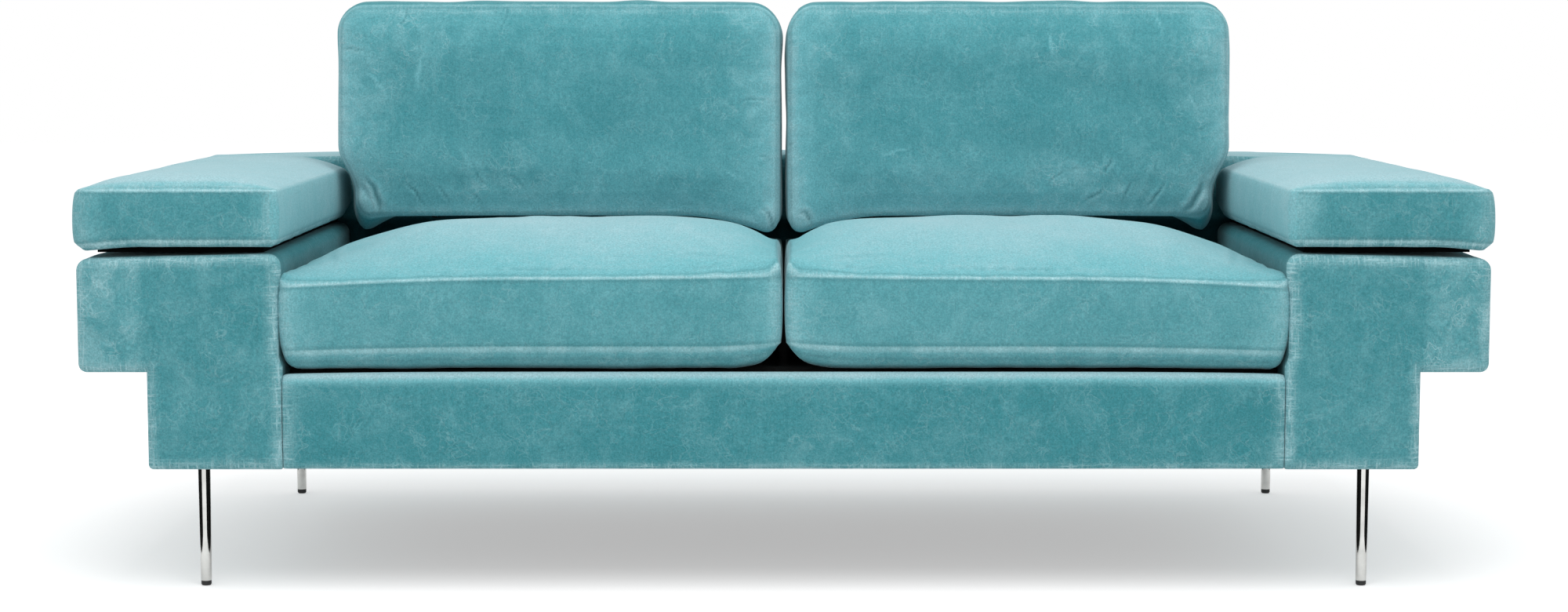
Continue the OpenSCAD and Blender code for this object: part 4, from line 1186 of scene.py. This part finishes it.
def buildArmPads():
    for name, sign, seed in (("left", -1, 71), ("right", 1, 83)):
        low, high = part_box(name + "_arm_pad")
        form = dict(pad, halfA=(pad["outer"] - pad["inner"]) / 2, halfB=pad["length"] / 2)
        net, radii = cushionNet(form, mirrored=sign < 0)
        middle = (sign * (pad["inner"] + pad["outer"]) / 2, high[1] - pad["swell"] / 2 - form["halfB"])
        made = boxedCushion(form, net, radii, padCrown, padUnder, [], seed, sign)
        outwards, v, t = made["u"] * sign, made["v"], made["t"]
        lower = low[2] + pad["bottomGap"]
        z = lower + np.maximum(made["c"], -pad["bottomGap"])
        lowShare = falling(made["c"], pad["boxing"])
        z = z - pad["sag"] * lowShare * rising(outwards - pad["sagFrom"], 1 - pad["sagFrom"]) ** 1.5
        flatter = pad["frontFlat"] * pad["swell"] * made["bulge"] * rising(-v - 0.9, 0.1)
        outside = np.clip(outwards, 0, 1) ** 6 * (z > low[2] + pad["footLift"])
        x = made["x"] + sign * pad["footOut"] * lowShare ** 3 * outside
        # The rear inner corner is thinner: z moves towards the middle of the boxing
        rearInner = np.hypot(form["halfA"] * (1 + outwards), form["halfB"] * (1 - v))
        thin = pad["rearThin"] * falling(rearInner, pad["rearRun"]) ** 1.5
        z = z + (lower + pad["boxing"] * 0.5 - z) * thin
        points = np.stack([x + middle[0], made["y"] + flatter + middle[1], z], axis=1)

        onTop, onWall = made["side"] == 0, made["side"] == 1
        inner = onWall & (outwards < -0.96)
        front = onWall & ~inner & (v < -0.9)
        ends = falling(made["corner"], pad["endRun"])
        topPaintedSheen = pad["topPaintedSheen"][0] + pad["topPaintedSheen"][1] * rising((v + 1) * form["halfB"], pad["topSheenRun"]) ** 2
        innerNap = pad["innerNap"][0] + pad["innerNap"][1] * t
        boxingNap = pad["boxingNap"][0] + pad["boxingNap"][1] * ends * front
        napAndSheen = np.where(onTop, topPaintedSheen, np.where(inner, innerNap, boxingNap))
        crush = np.where(front, pad["frontCrush"][0] + pad["frontCrush"][1] * ends, 0.0)
        lowEdge = np.where(front & (t > 0.5), np.maximum(made["edge"], pad["lowWear"]), made["edge"])
        made["edge"] = np.where(inner | onTop & (v > -0.9), 1.0, lowEdge)
        shade = pad["seamShade"] * np.exp(-made["seam"] / pad["shadeRun"])
        made["paintedShade"] = np.where(inner, shade, made["paintedShade"])
        made["seam"] = np.where(inner | onTop & (v > -0.98), 1.0, made["seam"])
        masks = pileMasks(made, napAndSheen, crush, pad["wearWidth"])
        piece = makePiece(name + "ArmPad", points, made["faces"], velvetWorn, masks)
        dress(piece, "frame", name + "_arm_pad")
    print("arm pads built")


# Arm covers

arm = {
    "pillarWidth": 0.1853,
    "proud": (0.0008, 0.0027, 0.003, -0.001),  # past the solid: inwards, outwards, down and up
    "stepZ": 0.3045,
    "topSag": 0.0065,  # of the outer end
    "footInner": 0.005, "footOuter": 0.007,  # radii of the front's corners
    "wingLow": 0.012, "wingTop": 0.019, "innerTop": 0.018, "inside": 0.001,
    "frontRoll": 0.011,  # how far back the front panel's edge lies
    "rearRoll": 0.012, "rearRollFrom": 0.30, "rearRollRun": 0.05,  # from this height upwards
    "innerBand": 0.03,  # how wide a strip beside the inner face is pressed aside or turned in
    "pressed": 0.0055, "pressedRun": 0.045,  # the seat presses the front edge aside
    "pressedFrom": 0.312, "pressedTo": 0.440, "pressedRise": 0.012, "pressedFall": 0.03,
    "rearDrop": 0.010, "rearDropRun": 0.045,  # of the top where it meets the back
    "rearIn": 0.016, "rearInRun": 0.110,  # of the inner face there
    "lump": 0.0007, "frontWave": 0.11, "frontRun": 0.03,
    "sideWave": 0.13, "sideFrom": 0.013, "sideRun": 0.05,
    "fine": 0.0016, "coarse": 0.0055, "rowFine": 0.003, "rowCoarse": 0.010,
    "wall": 0.003,
    "wearWidth": 0.022, "sideWear": 3.0,
    "wingRun": 0.012, "wingRise": 0.02,  # where the outer block begins, outwards and upwards
    "frontNap": (0.13, 0.10), "frontCrush": (0.14, 0.58),  # and how much more on the outer block
    "sideNap": 0.08, "sideCrush": 0.04,
    "innerShadeBand": 0.02, "innerShade": (0.58, 0.6),  # painted shade on the inner face, and more at the rear
    "innerShadeFrom": 0.10, "innerShadeRun": 0.08,
    "fill": 1.0,
    # Creases on the front, from and to (out from the inner edge, up), bow, width and depth
    "creases": [
        (0.036, 0.425, 0.085, 0.440, 0.010, 0.0028, 0.0022),
        (0.092, 0.384, 0.110, 0.366, 0.004, 0.0024, -0.0014),
        (0.230, 0.380, 0.180, 0.372, 0.003, 0.0022, -0.0010),
        (0.262, 0.352, 0.196, 0.340, 0.004, 0.0022, -0.0010),
        (0.215, 0.330, 0.186, 0.312, 0.002, 0.0022, 0.0012),
    ],
}


puffed = {"deep": 0.0012, "run": 0.05}


def frontDepth(distance, roll):
    # Depth of a puffed front panel: a quarter ellipse over the edge, then a faint puff inwards
    edge = (roll - puffed["deep"]) * (1 - rollUp(distance, roll))
    return edge + puffed["deep"] * falling(distance, puffed["run"]) ** 2


def buildArmCovers():
    for name, sign, seed in (("left", -1, 101), ("right", 1, 113)):
        low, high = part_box("right_arm_cover")
        inner, outer = low[0] - arm["proud"][0], high[0] + arm["proud"][1]
        foot, top = low[2] - arm["proud"][2], high[2] + arm["proud"][3]
        pillar, step = inner + arm["pillarWidth"], arm["stepZ"]
        corners = [
            (inner, foot, arm["footInner"], -1, -1), (pillar, foot, arm["footOuter"], 1, -1),
            (outer, step, arm["wingLow"], 1, -1), (outer, top, arm["wingTop"], 1, 1),
            (inner, top, arm["innerTop"], -1, 1)]
        net = plan(
            spacedLines([inner, pillar, outer], arm["fine"], arm["coarse"]),
            spacedLines([foot, step, top], arm["fine"], arm["coarse"]),
            lambda x, z: (x < pillar) | (z > step), corners)
        pillarRadii = [arm["footInner"], arm["footOuter"], arm["inside"], arm["innerTop"]]
        wingRadii = [arm["inside"], arm["wingLow"], arm["wingTop"], arm["innerTop"]]
        boxes = [((inner, foot), (pillar, top), pillarRadii), ((inner, step), (outer, top), wingRadii)]

        # The side rows run straight back, and the last ones turn in by 1 - cos over the rear edge
        total = high[1] - low[1]
        turn = np.linspace(0, math.pi / 2, 8)[1:]
        depths = spacedLines(
            [arm["frontRoll"], total - arm["rearRoll"]], arm["rowFine"], arm["rowCoarse"])[1:]
        inset = np.concatenate([np.zeros(len(depths) + 1), 1 - np.cos(turn)]) * arm["rearRoll"]
        depths = np.concatenate([[0], depths, total - arm["rearRoll"] * (1 - np.sin(turn))])
        shell = shellOf(net, list(np.arange(1, len(depths))), backPanel=False)
        x, z, side = shell["a"], shell["b"], shell["side"]
        row = np.where(side == 1, shell["t"], 0).astype(int)
        distance = np.maximum(insideDistance(x, z, boxes), 0)
        distance[side == 1] = 0
        dent, paintedShade, paintedHighlight = creaseField(x - inner, z, arm["creases"])
        front = frontDepth(distance, arm["frontRoll"]) - dent
        front = front + arm["lump"] * lumps(x, z, arm["frontWave"], seed) * rising(distance, arm["frontRun"])
        depth = np.where(side == 0, front, depths[row])
        out = arm["lump"] * lumps(depth, x + z, arm["sideWave"], seed + 1)
        out = np.where(side == 1, out * rising(depth - arm["sideFrom"], arm["sideRun"]), 0)
        out = out - inset[row] * rising(z - arm["rearRollFrom"], arm["rearRollRun"])

        # The top sags by a cube of the height and drops at the rear, the inner face turns in there
        upward = rising(z - step, top - step) ** 3
        toRear = total - depth
        drop = arm["topSag"] * rising(x - inner, outer - inner)
        drop = drop + arm["rearDrop"] * (1 - rollUp(toRear, arm["rearDropRun"]))
        pressed = rising(z - arm["pressedFrom"], arm["pressedRise"]) * rising(
            arm["pressedTo"] - z, arm["pressedFall"])
        aside = arm["pressed"] * pressed * np.exp(-(depth / arm["pressedRun"]) ** 2)
        aside = aside + arm["rearIn"] * (1 - rollUp(toRear, arm["rearInRun"]))
        px = x + shell["away"][:, 0] * out + aside * (x < inner + arm["innerBand"])
        pz = z + shell["away"][:, 1] * out - drop * upward
        points = np.stack([sign * px, frontY + depth, pz], axis=1)

        wing = rising(x - pillar, arm["wingRun"]) * rising(z - step + arm["wingRise"], arm["wingRise"])
        # Painted shade on the inner face beside the seat, darker towards the rear
        innerShade = arm["innerShade"][0] + arm["innerShade"][1] * rising(arm["innerShadeFrom"] - toRear, arm["innerShadeRun"])
        innerShade = np.where(x < inner + arm["innerShadeBand"], innerShade, 0)
        made = {
            "edge": np.where(side == 1, np.maximum(depth - arm["frontRoll"], 0) * arm["sideWear"], distance),
            "paintedShade": np.where(side == 0, paintedShade, innerShade), "paintedHighlight": np.where(side == 0, paintedHighlight, 0)}
        frontNap, frontCrush = [pair[0] + pair[1] * wing for pair in (arm["frontNap"], arm["frontCrush"])]
        masks = pileMasks(
            made, np.where(side == 0, frontNap, arm["sideNap"]),
            np.where(side == 0, frontCrush, arm["sideCrush"]), arm["wearWidth"])
        piece = makePiece(
            name + "ArmCover", points, shell["faces"], velvetArm, masks, thickness=arm["wall"])
        dress(piece, "frame", name + "_arm_cover")
    print("arm covers built")


# Back cover

backCover = {
    "stepZ": 0.3045,
    "proud": (0.004, 0.003, 0.002),  # past the solid: to the sides, down and up
    "fall": 0.009, "fallFrom": 0.06, "fallRun": 0.05,  # of the top towards the ends
    "footInset": 0.092,  # from the wide part's end to the foot's end
    "foot": 0.007, "wingLow": 0.012, "wingTop": 0.020, "inside": 0.001,  # radii of the corners
    "frontRoll": 0.010, "rearRoll": 0.024,
    "boardHalf": 0.849, "boardLow": 0.178, "boardTop": 0.296,  # where the inner board stands
    "boardDeep": 0.022, "boardEdge": 0.004,
    "lump": 0.0010, "lumpWave": 0.16, "lumpRun": 0.03, "sunk": 0.0015,
    "sideLump": 0.0008, "sideWave": 0.15,
    "seeds": (127, 131),
    "fine": 0.002, "coarse": 0.009, "rows": 18,
    "wearWidth": 0.030, "topBand": 0.003,
    "shadeTop": 0.475, "shadeRun": 0.01, "shade": 1.3,  # painted shade on the front face below the cushions
    # painted sheen and top light on the top, and the level on the rest
    "topPaintedSheen": 0.88, "napAndSheen": 0.14, "crush": 0.12,
    "fill": 1.0,
}


def buildBackCover():
    low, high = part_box("back_cover")
    wide, foot = high[0] + backCover["proud"][0], low[2] - backCover["proud"][1]
    top, step = high[2] + backCover["proud"][2], backCover["stepZ"]
    narrow = wide - backCover["footInset"]
    footRadius, wingLow, wingTop = backCover["foot"], backCover["wingLow"], backCover["wingTop"]
    corners = []
    for sign in (-1, 1):
        corners += [
            (sign * narrow, foot, footRadius, sign, -1), (sign * wide, step, wingLow, sign, -1),
            (sign * wide, top, wingTop, sign, 1)]
    net = plan(
        spacedLines([-wide, -narrow, 0, narrow, wide], backCover["fine"], backCover["coarse"]),
        spacedLines([foot, step, top], backCover["fine"], backCover["coarse"]),
        lambda x, z: (np.abs(x) < narrow) | (z > step), corners)
    boxes = [
        ((-narrow, foot), (narrow, top), [footRadius, footRadius, backCover["inside"], backCover["inside"]]),
        ((-wide, step), (wide, top), [wingLow, wingLow, wingTop, wingTop])]
    start, end = low[1] - frontY, high[1] - frontY
    rear, front = end - backCover["rearRoll"], start + backCover["frontRoll"]
    rows = np.linspace(rear, front, backCover["rows"] + 2)[1:-1]
    shell = shellOf(net, list(np.arange(1, len(rows) + 1)))
    x, z, side = shell["a"], shell["b"], shell["side"]
    row = np.where(side == 1, shell["t"], 0).astype(int)
    distance = np.maximum(insideDistance(x, z, boxes), 0)
    distance[side == 1] = 0
    bump = backCover["lump"] * lumps(x, z, backCover["lumpWave"], backCover["seeds"][0])
    bump = bump * rising(distance, backCover["lumpRun"])
    rearFace = end - frontDepth(distance, backCover["rearRoll"]) + bump - backCover["sunk"]
    upright = np.minimum(z - backCover["boardLow"], backCover["boardTop"] - z)
    behind = rising(backCover["boardHalf"] - np.abs(x), backCover["boardEdge"])
    behind = behind * rising(upright, backCover["boardEdge"])
    frontFace = start + frontDepth(distance, backCover["frontRoll"]) + backCover["boardDeep"] * behind
    depth = np.where(side == 0, rearFace, np.where(side == 2, frontFace, np.concatenate([[0], rows])[row]))
    fall = backCover["fall"] * np.abs(x / wide) ** 4.5 * rising(
        z - top + backCover["fallFrom"], backCover["fallRun"])
    out = backCover["sideLump"] * lumps(x, depth, backCover["sideWave"], backCover["seeds"][1])
    out = out * (side == 1)
    points = np.stack([
        x + shell["away"][:, 0] * out, frontY + depth, z - fall + shell["away"][:, 1] * out], axis=1)

    wallEdge = np.minimum(np.abs(depth - rear), np.abs(depth - front))
    onTop = (side == 1) & (z > top - backCover["topBand"])
    shade = backCover["shade"] * rising(backCover["shadeTop"] - z, backCover["shadeRun"])
    made = {
        "edge": np.where(onTop, 1.0, np.where(side == 1, wallEdge, distance)),
        "paintedShade": np.where(side == 2, shade, 0)}
    masks = pileMasks(
        made, np.where(onTop, backCover["topPaintedSheen"], backCover["napAndSheen"]), backCover["crush"],
        backCover["wearWidth"])
    piece = makePiece("backCover", points, shell["faces"], velvetWorn, masks)
    dress(piece, "frame", "back_cover")
    print("back cover built")


# Front rail cover

railCover = {
    "faceRoundTop": 0.013, "faceRoundLow": 0.006,
    "proud": 0.003,  # below the solid
    "lowered": 0.001, "dip": 0.005, "dipRun": 0.012,  # the top's edge, and the top behind it
    "rise": 0.0030,  # of the top towards the middle
    "behind": 0.060,  # from the face to the rear edge of the top
    "underRun": 0.040,
    "endRound": 0.012, "endBack": 0.004, "endDown": 0.003,
    "topRun": 0.022, "faceRun": 0.02,  # how far the rise and the ends' rounding reach
    "lump": 0.0007, "lumpWave": 0.12, "seed": 139,
    "puff": 0.0012, "puffRun": 0.004, "puffEdge": 0.03,
    "seamX": 0.004, "seamDeep": 0.0011, "seamWide": 0.0016,
    "spacing": 0.006, "seamSpacing": 0.0008,
    "wall": 0.003,
    "wearWidth": 0.024, "faceWear": 1.8,
    "napAndSheen": (0.07, 0.85), "rollFrom": 0.019, "rollRun": 0.015,  # and how much more painted sheen and top light on the top roll
    "crush": (0.10, 0.35), "crushRun": 0.05,  # and how much more at the ends
    "shade": 1.3, "shadeRun": 0.008,  # behind the top roll
    "fill": 1.0,
}


def buildRailCover():
    # A profile carried from end to end: in under the rail, up its face and back over its top
    low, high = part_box("front_rail_cover")
    half, foot = high[0], low[2] - railCover["proud"]
    top = high[2] - railCover["rise"] - railCover["lowered"]
    rTop, rLow = railCover["faceRoundTop"], railCover["faceRoundLow"]
    turn = np.linspace(0, math.pi / 2, 9)
    lowArc = np.stack([rLow * (1 - np.sin(turn)), foot + rLow * (1 - np.cos(turn))], axis=1)
    topArc = np.stack([rTop * (1 - np.cos(turn)), top - rTop * (1 - np.sin(turn))], axis=1)
    under = np.stack([np.linspace(railCover["underRun"], rLow, 8)[:-1], np.full(7, foot)], axis=1)
    face = np.stack([np.zeros(22), np.linspace(foot + rLow, top - rTop, 24)[1:-1]], axis=1)
    reach = np.linspace(rTop, railCover["behind"], 16)[1:]
    sink = railCover["dip"] * rising(reach - rTop, railCover["dipRun"]) ** 1.5
    profile = np.concatenate([under, lowArc, face, topArc, np.stack([reach, top - sink], axis=1)])
    station = spacedLines([-half, railCover["seamX"], half], railCover["seamSpacing"], railCover["spacing"])
    depth, x = np.meshgrid(profile[:, 0], station, indexing="ij")
    z = np.meshgrid(profile[:, 1], station, indexing="ij")[0]

    toEnd = half - np.abs(x)
    roll = 1 - rollUp(toEnd, railCover["endRound"])
    nearTop = rising(z - top + railCover["topRun"], railCover["topRun"])
    outside = falling(depth, railCover["faceRun"])
    puff = railCover["lump"] * lumps(x, z, railCover["lumpWave"], railCover["seed"])
    puff = (puff + railCover["puff"]) * falling(depth, railCover["puffRun"])
    puff = puff * rising(np.minimum(z - foot, top - z), railCover["puffEdge"])
    seamDent = railCover["seamDeep"] * np.exp(-((x - railCover["seamX"]) / railCover["seamWide"]) ** 2)
    bent = depth - puff + outside * (railCover["endBack"] * roll + seamDent)
    rise = railCover["rise"] * (1 - np.abs(x / half) ** 6) - railCover["endDown"] * roll
    points = np.stack([x, low[1] + bent, z + rise * nearTop], axis=-1).reshape(-1, 3)

    # Painted shade behind the top roll, and painted sheen and top light on the roll
    behind = rising(depth - rTop, railCover["shadeRun"])
    onRoll = rising(z - top + railCover["rollFrom"], railCover["rollRun"]) ** 1.6 * (1 - behind)
    made = {
        "edge": np.minimum((z - foot + depth) * railCover["faceWear"], toEnd).ravel(),
        "paintedShade": railCover["shade"] * behind.ravel()}
    napAndSheen = railCover["napAndSheen"][0] + railCover["napAndSheen"][1] * onRoll
    crush = railCover["crush"][0] + railCover["crush"][1] * falling(toEnd, railCover["crushRun"])
    masks = pileMasks(made, napAndSheen.ravel(), crush.ravel(), railCover["wearWidth"])
    piece = makePiece(
        "frontRailCover", points, gridFaces(depth.shape), velvetWorn, masks, thickness=railCover["wall"])
    dress(piece, "frame", "front_rail_cover")
    print("front rail cover built")


# Seat deck, dust cover and elastic strips

deck = {
    "sag": 0.0035, "sagWave": 0.162, "sagRun": 0.06,  # between the springs
    "round": 0.004, "roundRun": 0.006,
    "lift": 0.0005,  # of the underside
    "fine": 0.004, "coarse": 0.012, "fill": 0.9,
}
dust = {
    "thick": 0.0008, "legHole": 0.011, "legRing": 0.030, "sag": 0.0020, "sagRun": 0.15, "sagWave": 0.25,
    "seed": 151, "lift": 0.0002, "fine": 0.003, "coarse": 0.030,
}
strip = {
    "feet": (0.330, 0.400, 0.470), "width": 0.050, "thick": 0.0016, "ribs": 0.0025, "ribHigh": 0.0003,
    "inside": 0.0014,  # ahead of the solid's rear face
    "fine": 0.004, "coarse": 0.020,
}


def rimDistance(x, y, low, high):
    return np.minimum(np.minimum(x - low[0], high[0] - x), np.minimum(y - low[1], high[1] - y))


def buildDeck():
    # Padded cloth over the springs: it sinks a little between them and rounds at its rim
    low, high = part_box("seat_deck")
    net = plan(
        spacedLines([low[0], high[0]], deck["fine"], deck["coarse"]),
        spacedLines([low[1], high[1]], deck["fine"], deck["coarse"]),
        lambda first, second: np.ones(first.shape, bool), [])
    shell = shellOf(net, [0.2, 0.5, 0.8])
    x, y, side, t = shell["a"], shell["b"], shell["side"], shell["t"]
    distance = np.where(side == 1, 0, np.maximum(rimDistance(x, y, low, high), 0))
    rim = deck["round"] * (1 - rollUp(distance, deck["roundRun"]))
    sag = deck["sag"] * (0.6 + 0.4 * np.cos(2 * np.pi * x / deck["sagWave"]))
    sag = sag * rising(distance, deck["sagRun"])
    edgeZ = high[2] - deck["round"] - (high[2] - low[2] - deck["round"]) * t
    z = np.where(side == 0, high[2] - rim - sag, np.where(side == 2, low[2] + deck["lift"], edgeZ))
    piece = makePiece("seatDeck", np.stack([x, y, z], axis=1), shell["faces"], deckCloth)
    dress(piece, "frame", "seat_deck")


def buildDustCover():
    # Thin cloth stapled under the frame, where squares round the legs' holes are bent to circles
    low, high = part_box("dust_cover")
    hole, ring = dust["legHole"], dust["legRing"]
    linesX, linesY = [
        [place + step for place in (-middle, middle) for step in (-ring, -hole, 0, hole, ring)]
        for middle in (legX, legY)]

    def keep(x, y):
        return ~((np.abs(np.abs(x) - legX) < hole) & (np.abs(np.abs(y) - legY) < hole))

    net = plan(
        spacedLines([low[0]] + linesX + [high[0]], dust["fine"], dust["coarse"]),
        spacedLines([low[1]] + linesY + [high[1]], dust["fine"], dust["coarse"]), keep, [])
    for atX, atY in legPlaces:
        dx, dy = net["a"] - atX, net["b"] - atY
        square = np.maximum(np.abs(dx), np.abs(dy))
        scale = 1 + rising(ring - square, ring - hole) * (square / np.maximum(np.hypot(dx, dy), 1e-6) - 1)
        net["a"], net["b"] = atX + dx * scale, atY + dy * scale
    shell = shellOf(net, [0.5])
    x, y = shell["a"], shell["b"]
    sag = dust["sag"] * rising(rimDistance(x, y, low, high), dust["sagRun"])
    sag = sag * (0.7 + 0.3 * lumps(x, y, dust["sagWave"], dust["seed"]))
    z = high[2] - dust["lift"] - np.maximum(sag, 0) - dust["thick"] * shell["t"]
    piece = makePiece("dustCover", np.stack([x, y, z], axis=1), shell["faces"], dustCloth)
    dress(piece, "frame", "dust_cover")


def buildStrips():
    # Elastic strips across the open back, with fine ribs along them
    low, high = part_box("back_webbing")
    for number, foot in enumerate(strip["feet"]):
        x, z = np.meshgrid(
            spacedLines([low[0], high[0]], strip["fine"], strip["coarse"]),
            np.arange(0, strip["width"] + 1e-7, strip["ribs"] / 2), indexing="ij")
        rib = strip["ribHigh"] * np.cos(2 * np.pi * z / strip["ribs"])
        points = np.stack([x, high[1] - strip["inside"] + rib, foot + z], axis=-1).reshape(-1, 3)
        piece = makePiece(
            "backStrip%d" % (number + 1), points, gridFaces(x.shape), webCloth,
            thickness=strip["thick"] / 2)
        dress(piece, "frame", "back_webbing")
    print("deck, dust cover and strips built")


# Hard finishes

finish = {
    "chrome": srgb(206, 206, 203), "chromeRough": 0.07, "chromeScratch": 0.05,
    "zinc": srgb(176, 180, 184), "zincRough": 0.34, "zincScratch": 0.5,
    "glide": srgb(24, 24, 25),
    "paint": srgb(4, 5, 5),
    "plyFace": srgb(196, 160, 112), "plyDark": srgb(142, 104, 64), "plyThick": 0.0015,
    "pineFace": srgb(214, 182, 128), "pineDark": srgb(168, 122, 70),
    "zipBlack": srgb(22, 24, 25),
    "cloudScale": 38.0, "spangleScale": 320.0, "scratches": (900.0, 900.0, 60.0),
    "pores": (30.0, 900.0, 900.0),
    "rubScale": 26.0,
}


def buildMetal(name, colour, rough, scratch):
    # Plated metal: faint clouds in the roughness and fine scratches in the relief
    material, tree, shader = newMaterial(name)
    place = objectPlace(tree)
    clouds = noiseOf(tree, place, finish["cloudScale"], 5.0)
    spangle = addNode(
        tree, "ShaderNodeTexVoronoi", {"Vector": place, "Scale": finish["spangleScale"]}).outputs["Distance"]
    lines = noiseOf(tree, stretchedBy(tree, place, finish["scratches"]), 1.0, 3.0)
    darker = tuple(value * 0.82 for value in colour[:3]) + (1.0,)
    feed(tree, shader, {
        "Base Color": mixColour(tree, between(tree, clouds, 0.35, 0.7), colour, darker),
        "Roughness": mathOf(tree, "MULTIPLY_ADD", clouds, rough * 0.8, rough * 0.6), "Metallic": 1.0})
    addRelief(tree, shader, mathOf(tree, "MULTIPLY_ADD", spangle, 0.4, lines), scratch, 0.0002)
    return material


def buildWood(name, face, dark, rings, plies):
    # Grain as bent bands along X, and glue lines at each ply's height where plies isn't 0
    material, tree, shader = newMaterial(name)
    place = objectPlace(tree)
    bands = noiseOf(tree, stretchedBy(tree, place, (1.4, rings, rings)), 1.0, 7.0, 0.62, 0.9)
    pores = noiseOf(tree, stretchedBy(tree, place, finish["pores"]), 1.0, 2.0)
    colour = mixColour(tree, between(tree, bands, 0.35, 0.7), face, dark)
    colour = mixColour(tree, 1.0, colour, mathOf(tree, "MULTIPLY_ADD", pores, 0.5, 0.75), "MULTIPLY")
    if plies:
        split = addNode(tree, "ShaderNodeSeparateXYZ", {0: place})
        layers = mathOf(tree, "PINGPONG", split.outputs[2], plies)
        glue = mathOf(tree, "LESS_THAN", layers, plies * 0.12)
        colour = mixColour(tree, mathOf(tree, "MULTIPLY", glue, 0.45), colour, dark)
    feed(tree, shader, {"Base Color": colour, "Roughness": 0.7})
    addRelief(tree, shader, pores, 0.3, 0.0004)
    return material


def buildMatt(name, colour, rough, scale, shine=0.5):
    # Matt paint or moulded plastic with a fine orange-peel relief and rubbed patches
    material, tree, shader = newMaterial(name)
    place = objectPlace(tree)
    rub = noiseOf(tree, place, finish["rubScale"], 6.0)
    lighter = tuple(min(1.0, value * 1.7 + 0.004) for value in colour[:3]) + (1.0,)
    feed(tree, shader, {
        "Base Color": mixColour(tree, between(tree, rub, 0.5, 0.8), colour, lighter),
        "Roughness": mathOf(tree, "MULTIPLY_ADD", rub, 0.2, rough - 0.1), "Specular IOR Level": shine})
    addRelief(tree, shader, noiseOf(tree, place, scale, 3.0), 0.25, 0.0003)
    return material


def finishNodes():
    bySlot = {
        "polished_metal": buildMetal(
            "legChrome", finish["chrome"], finish["chromeRough"], finish["chromeScratch"]),
        "plated_steel": buildMetal("zincPlate", finish["zinc"], finish["zincRough"], finish["zincScratch"]),
        "plywood": buildWood("plywood", finish["plyFace"], finish["plyDark"], 26.0, finish["plyThick"]),
        "pine": buildWood("pine", finish["pineFace"], finish["pineDark"], 18.0, 0),
        "painted_wood": buildMatt("plinthPaint", finish["paint"], 0.85, 420.0, 0.04),
        "black_plastic": buildMatt("glidePlastic", finish["glide"], 0.5, 700.0),
    }
    for row in frame["record"]["subparts"]:
        if row["material_slot"] in bySlot:
            for slot in frame["nodes"][row["node"]].material_slots:
                slot.material = bySlot[row["material_slot"]]
    print("hard finishes set")


zipMetal = buildMatt("zipBlack", finish["zipBlack"], 0.45, 900.0)
buildSeatCushions()
buildBackCushions()
buildArmPads()
buildArmCovers()
buildBackCover()
buildRailCover()
buildDeck()
buildDustCover()
buildStrips()
finishNodes()
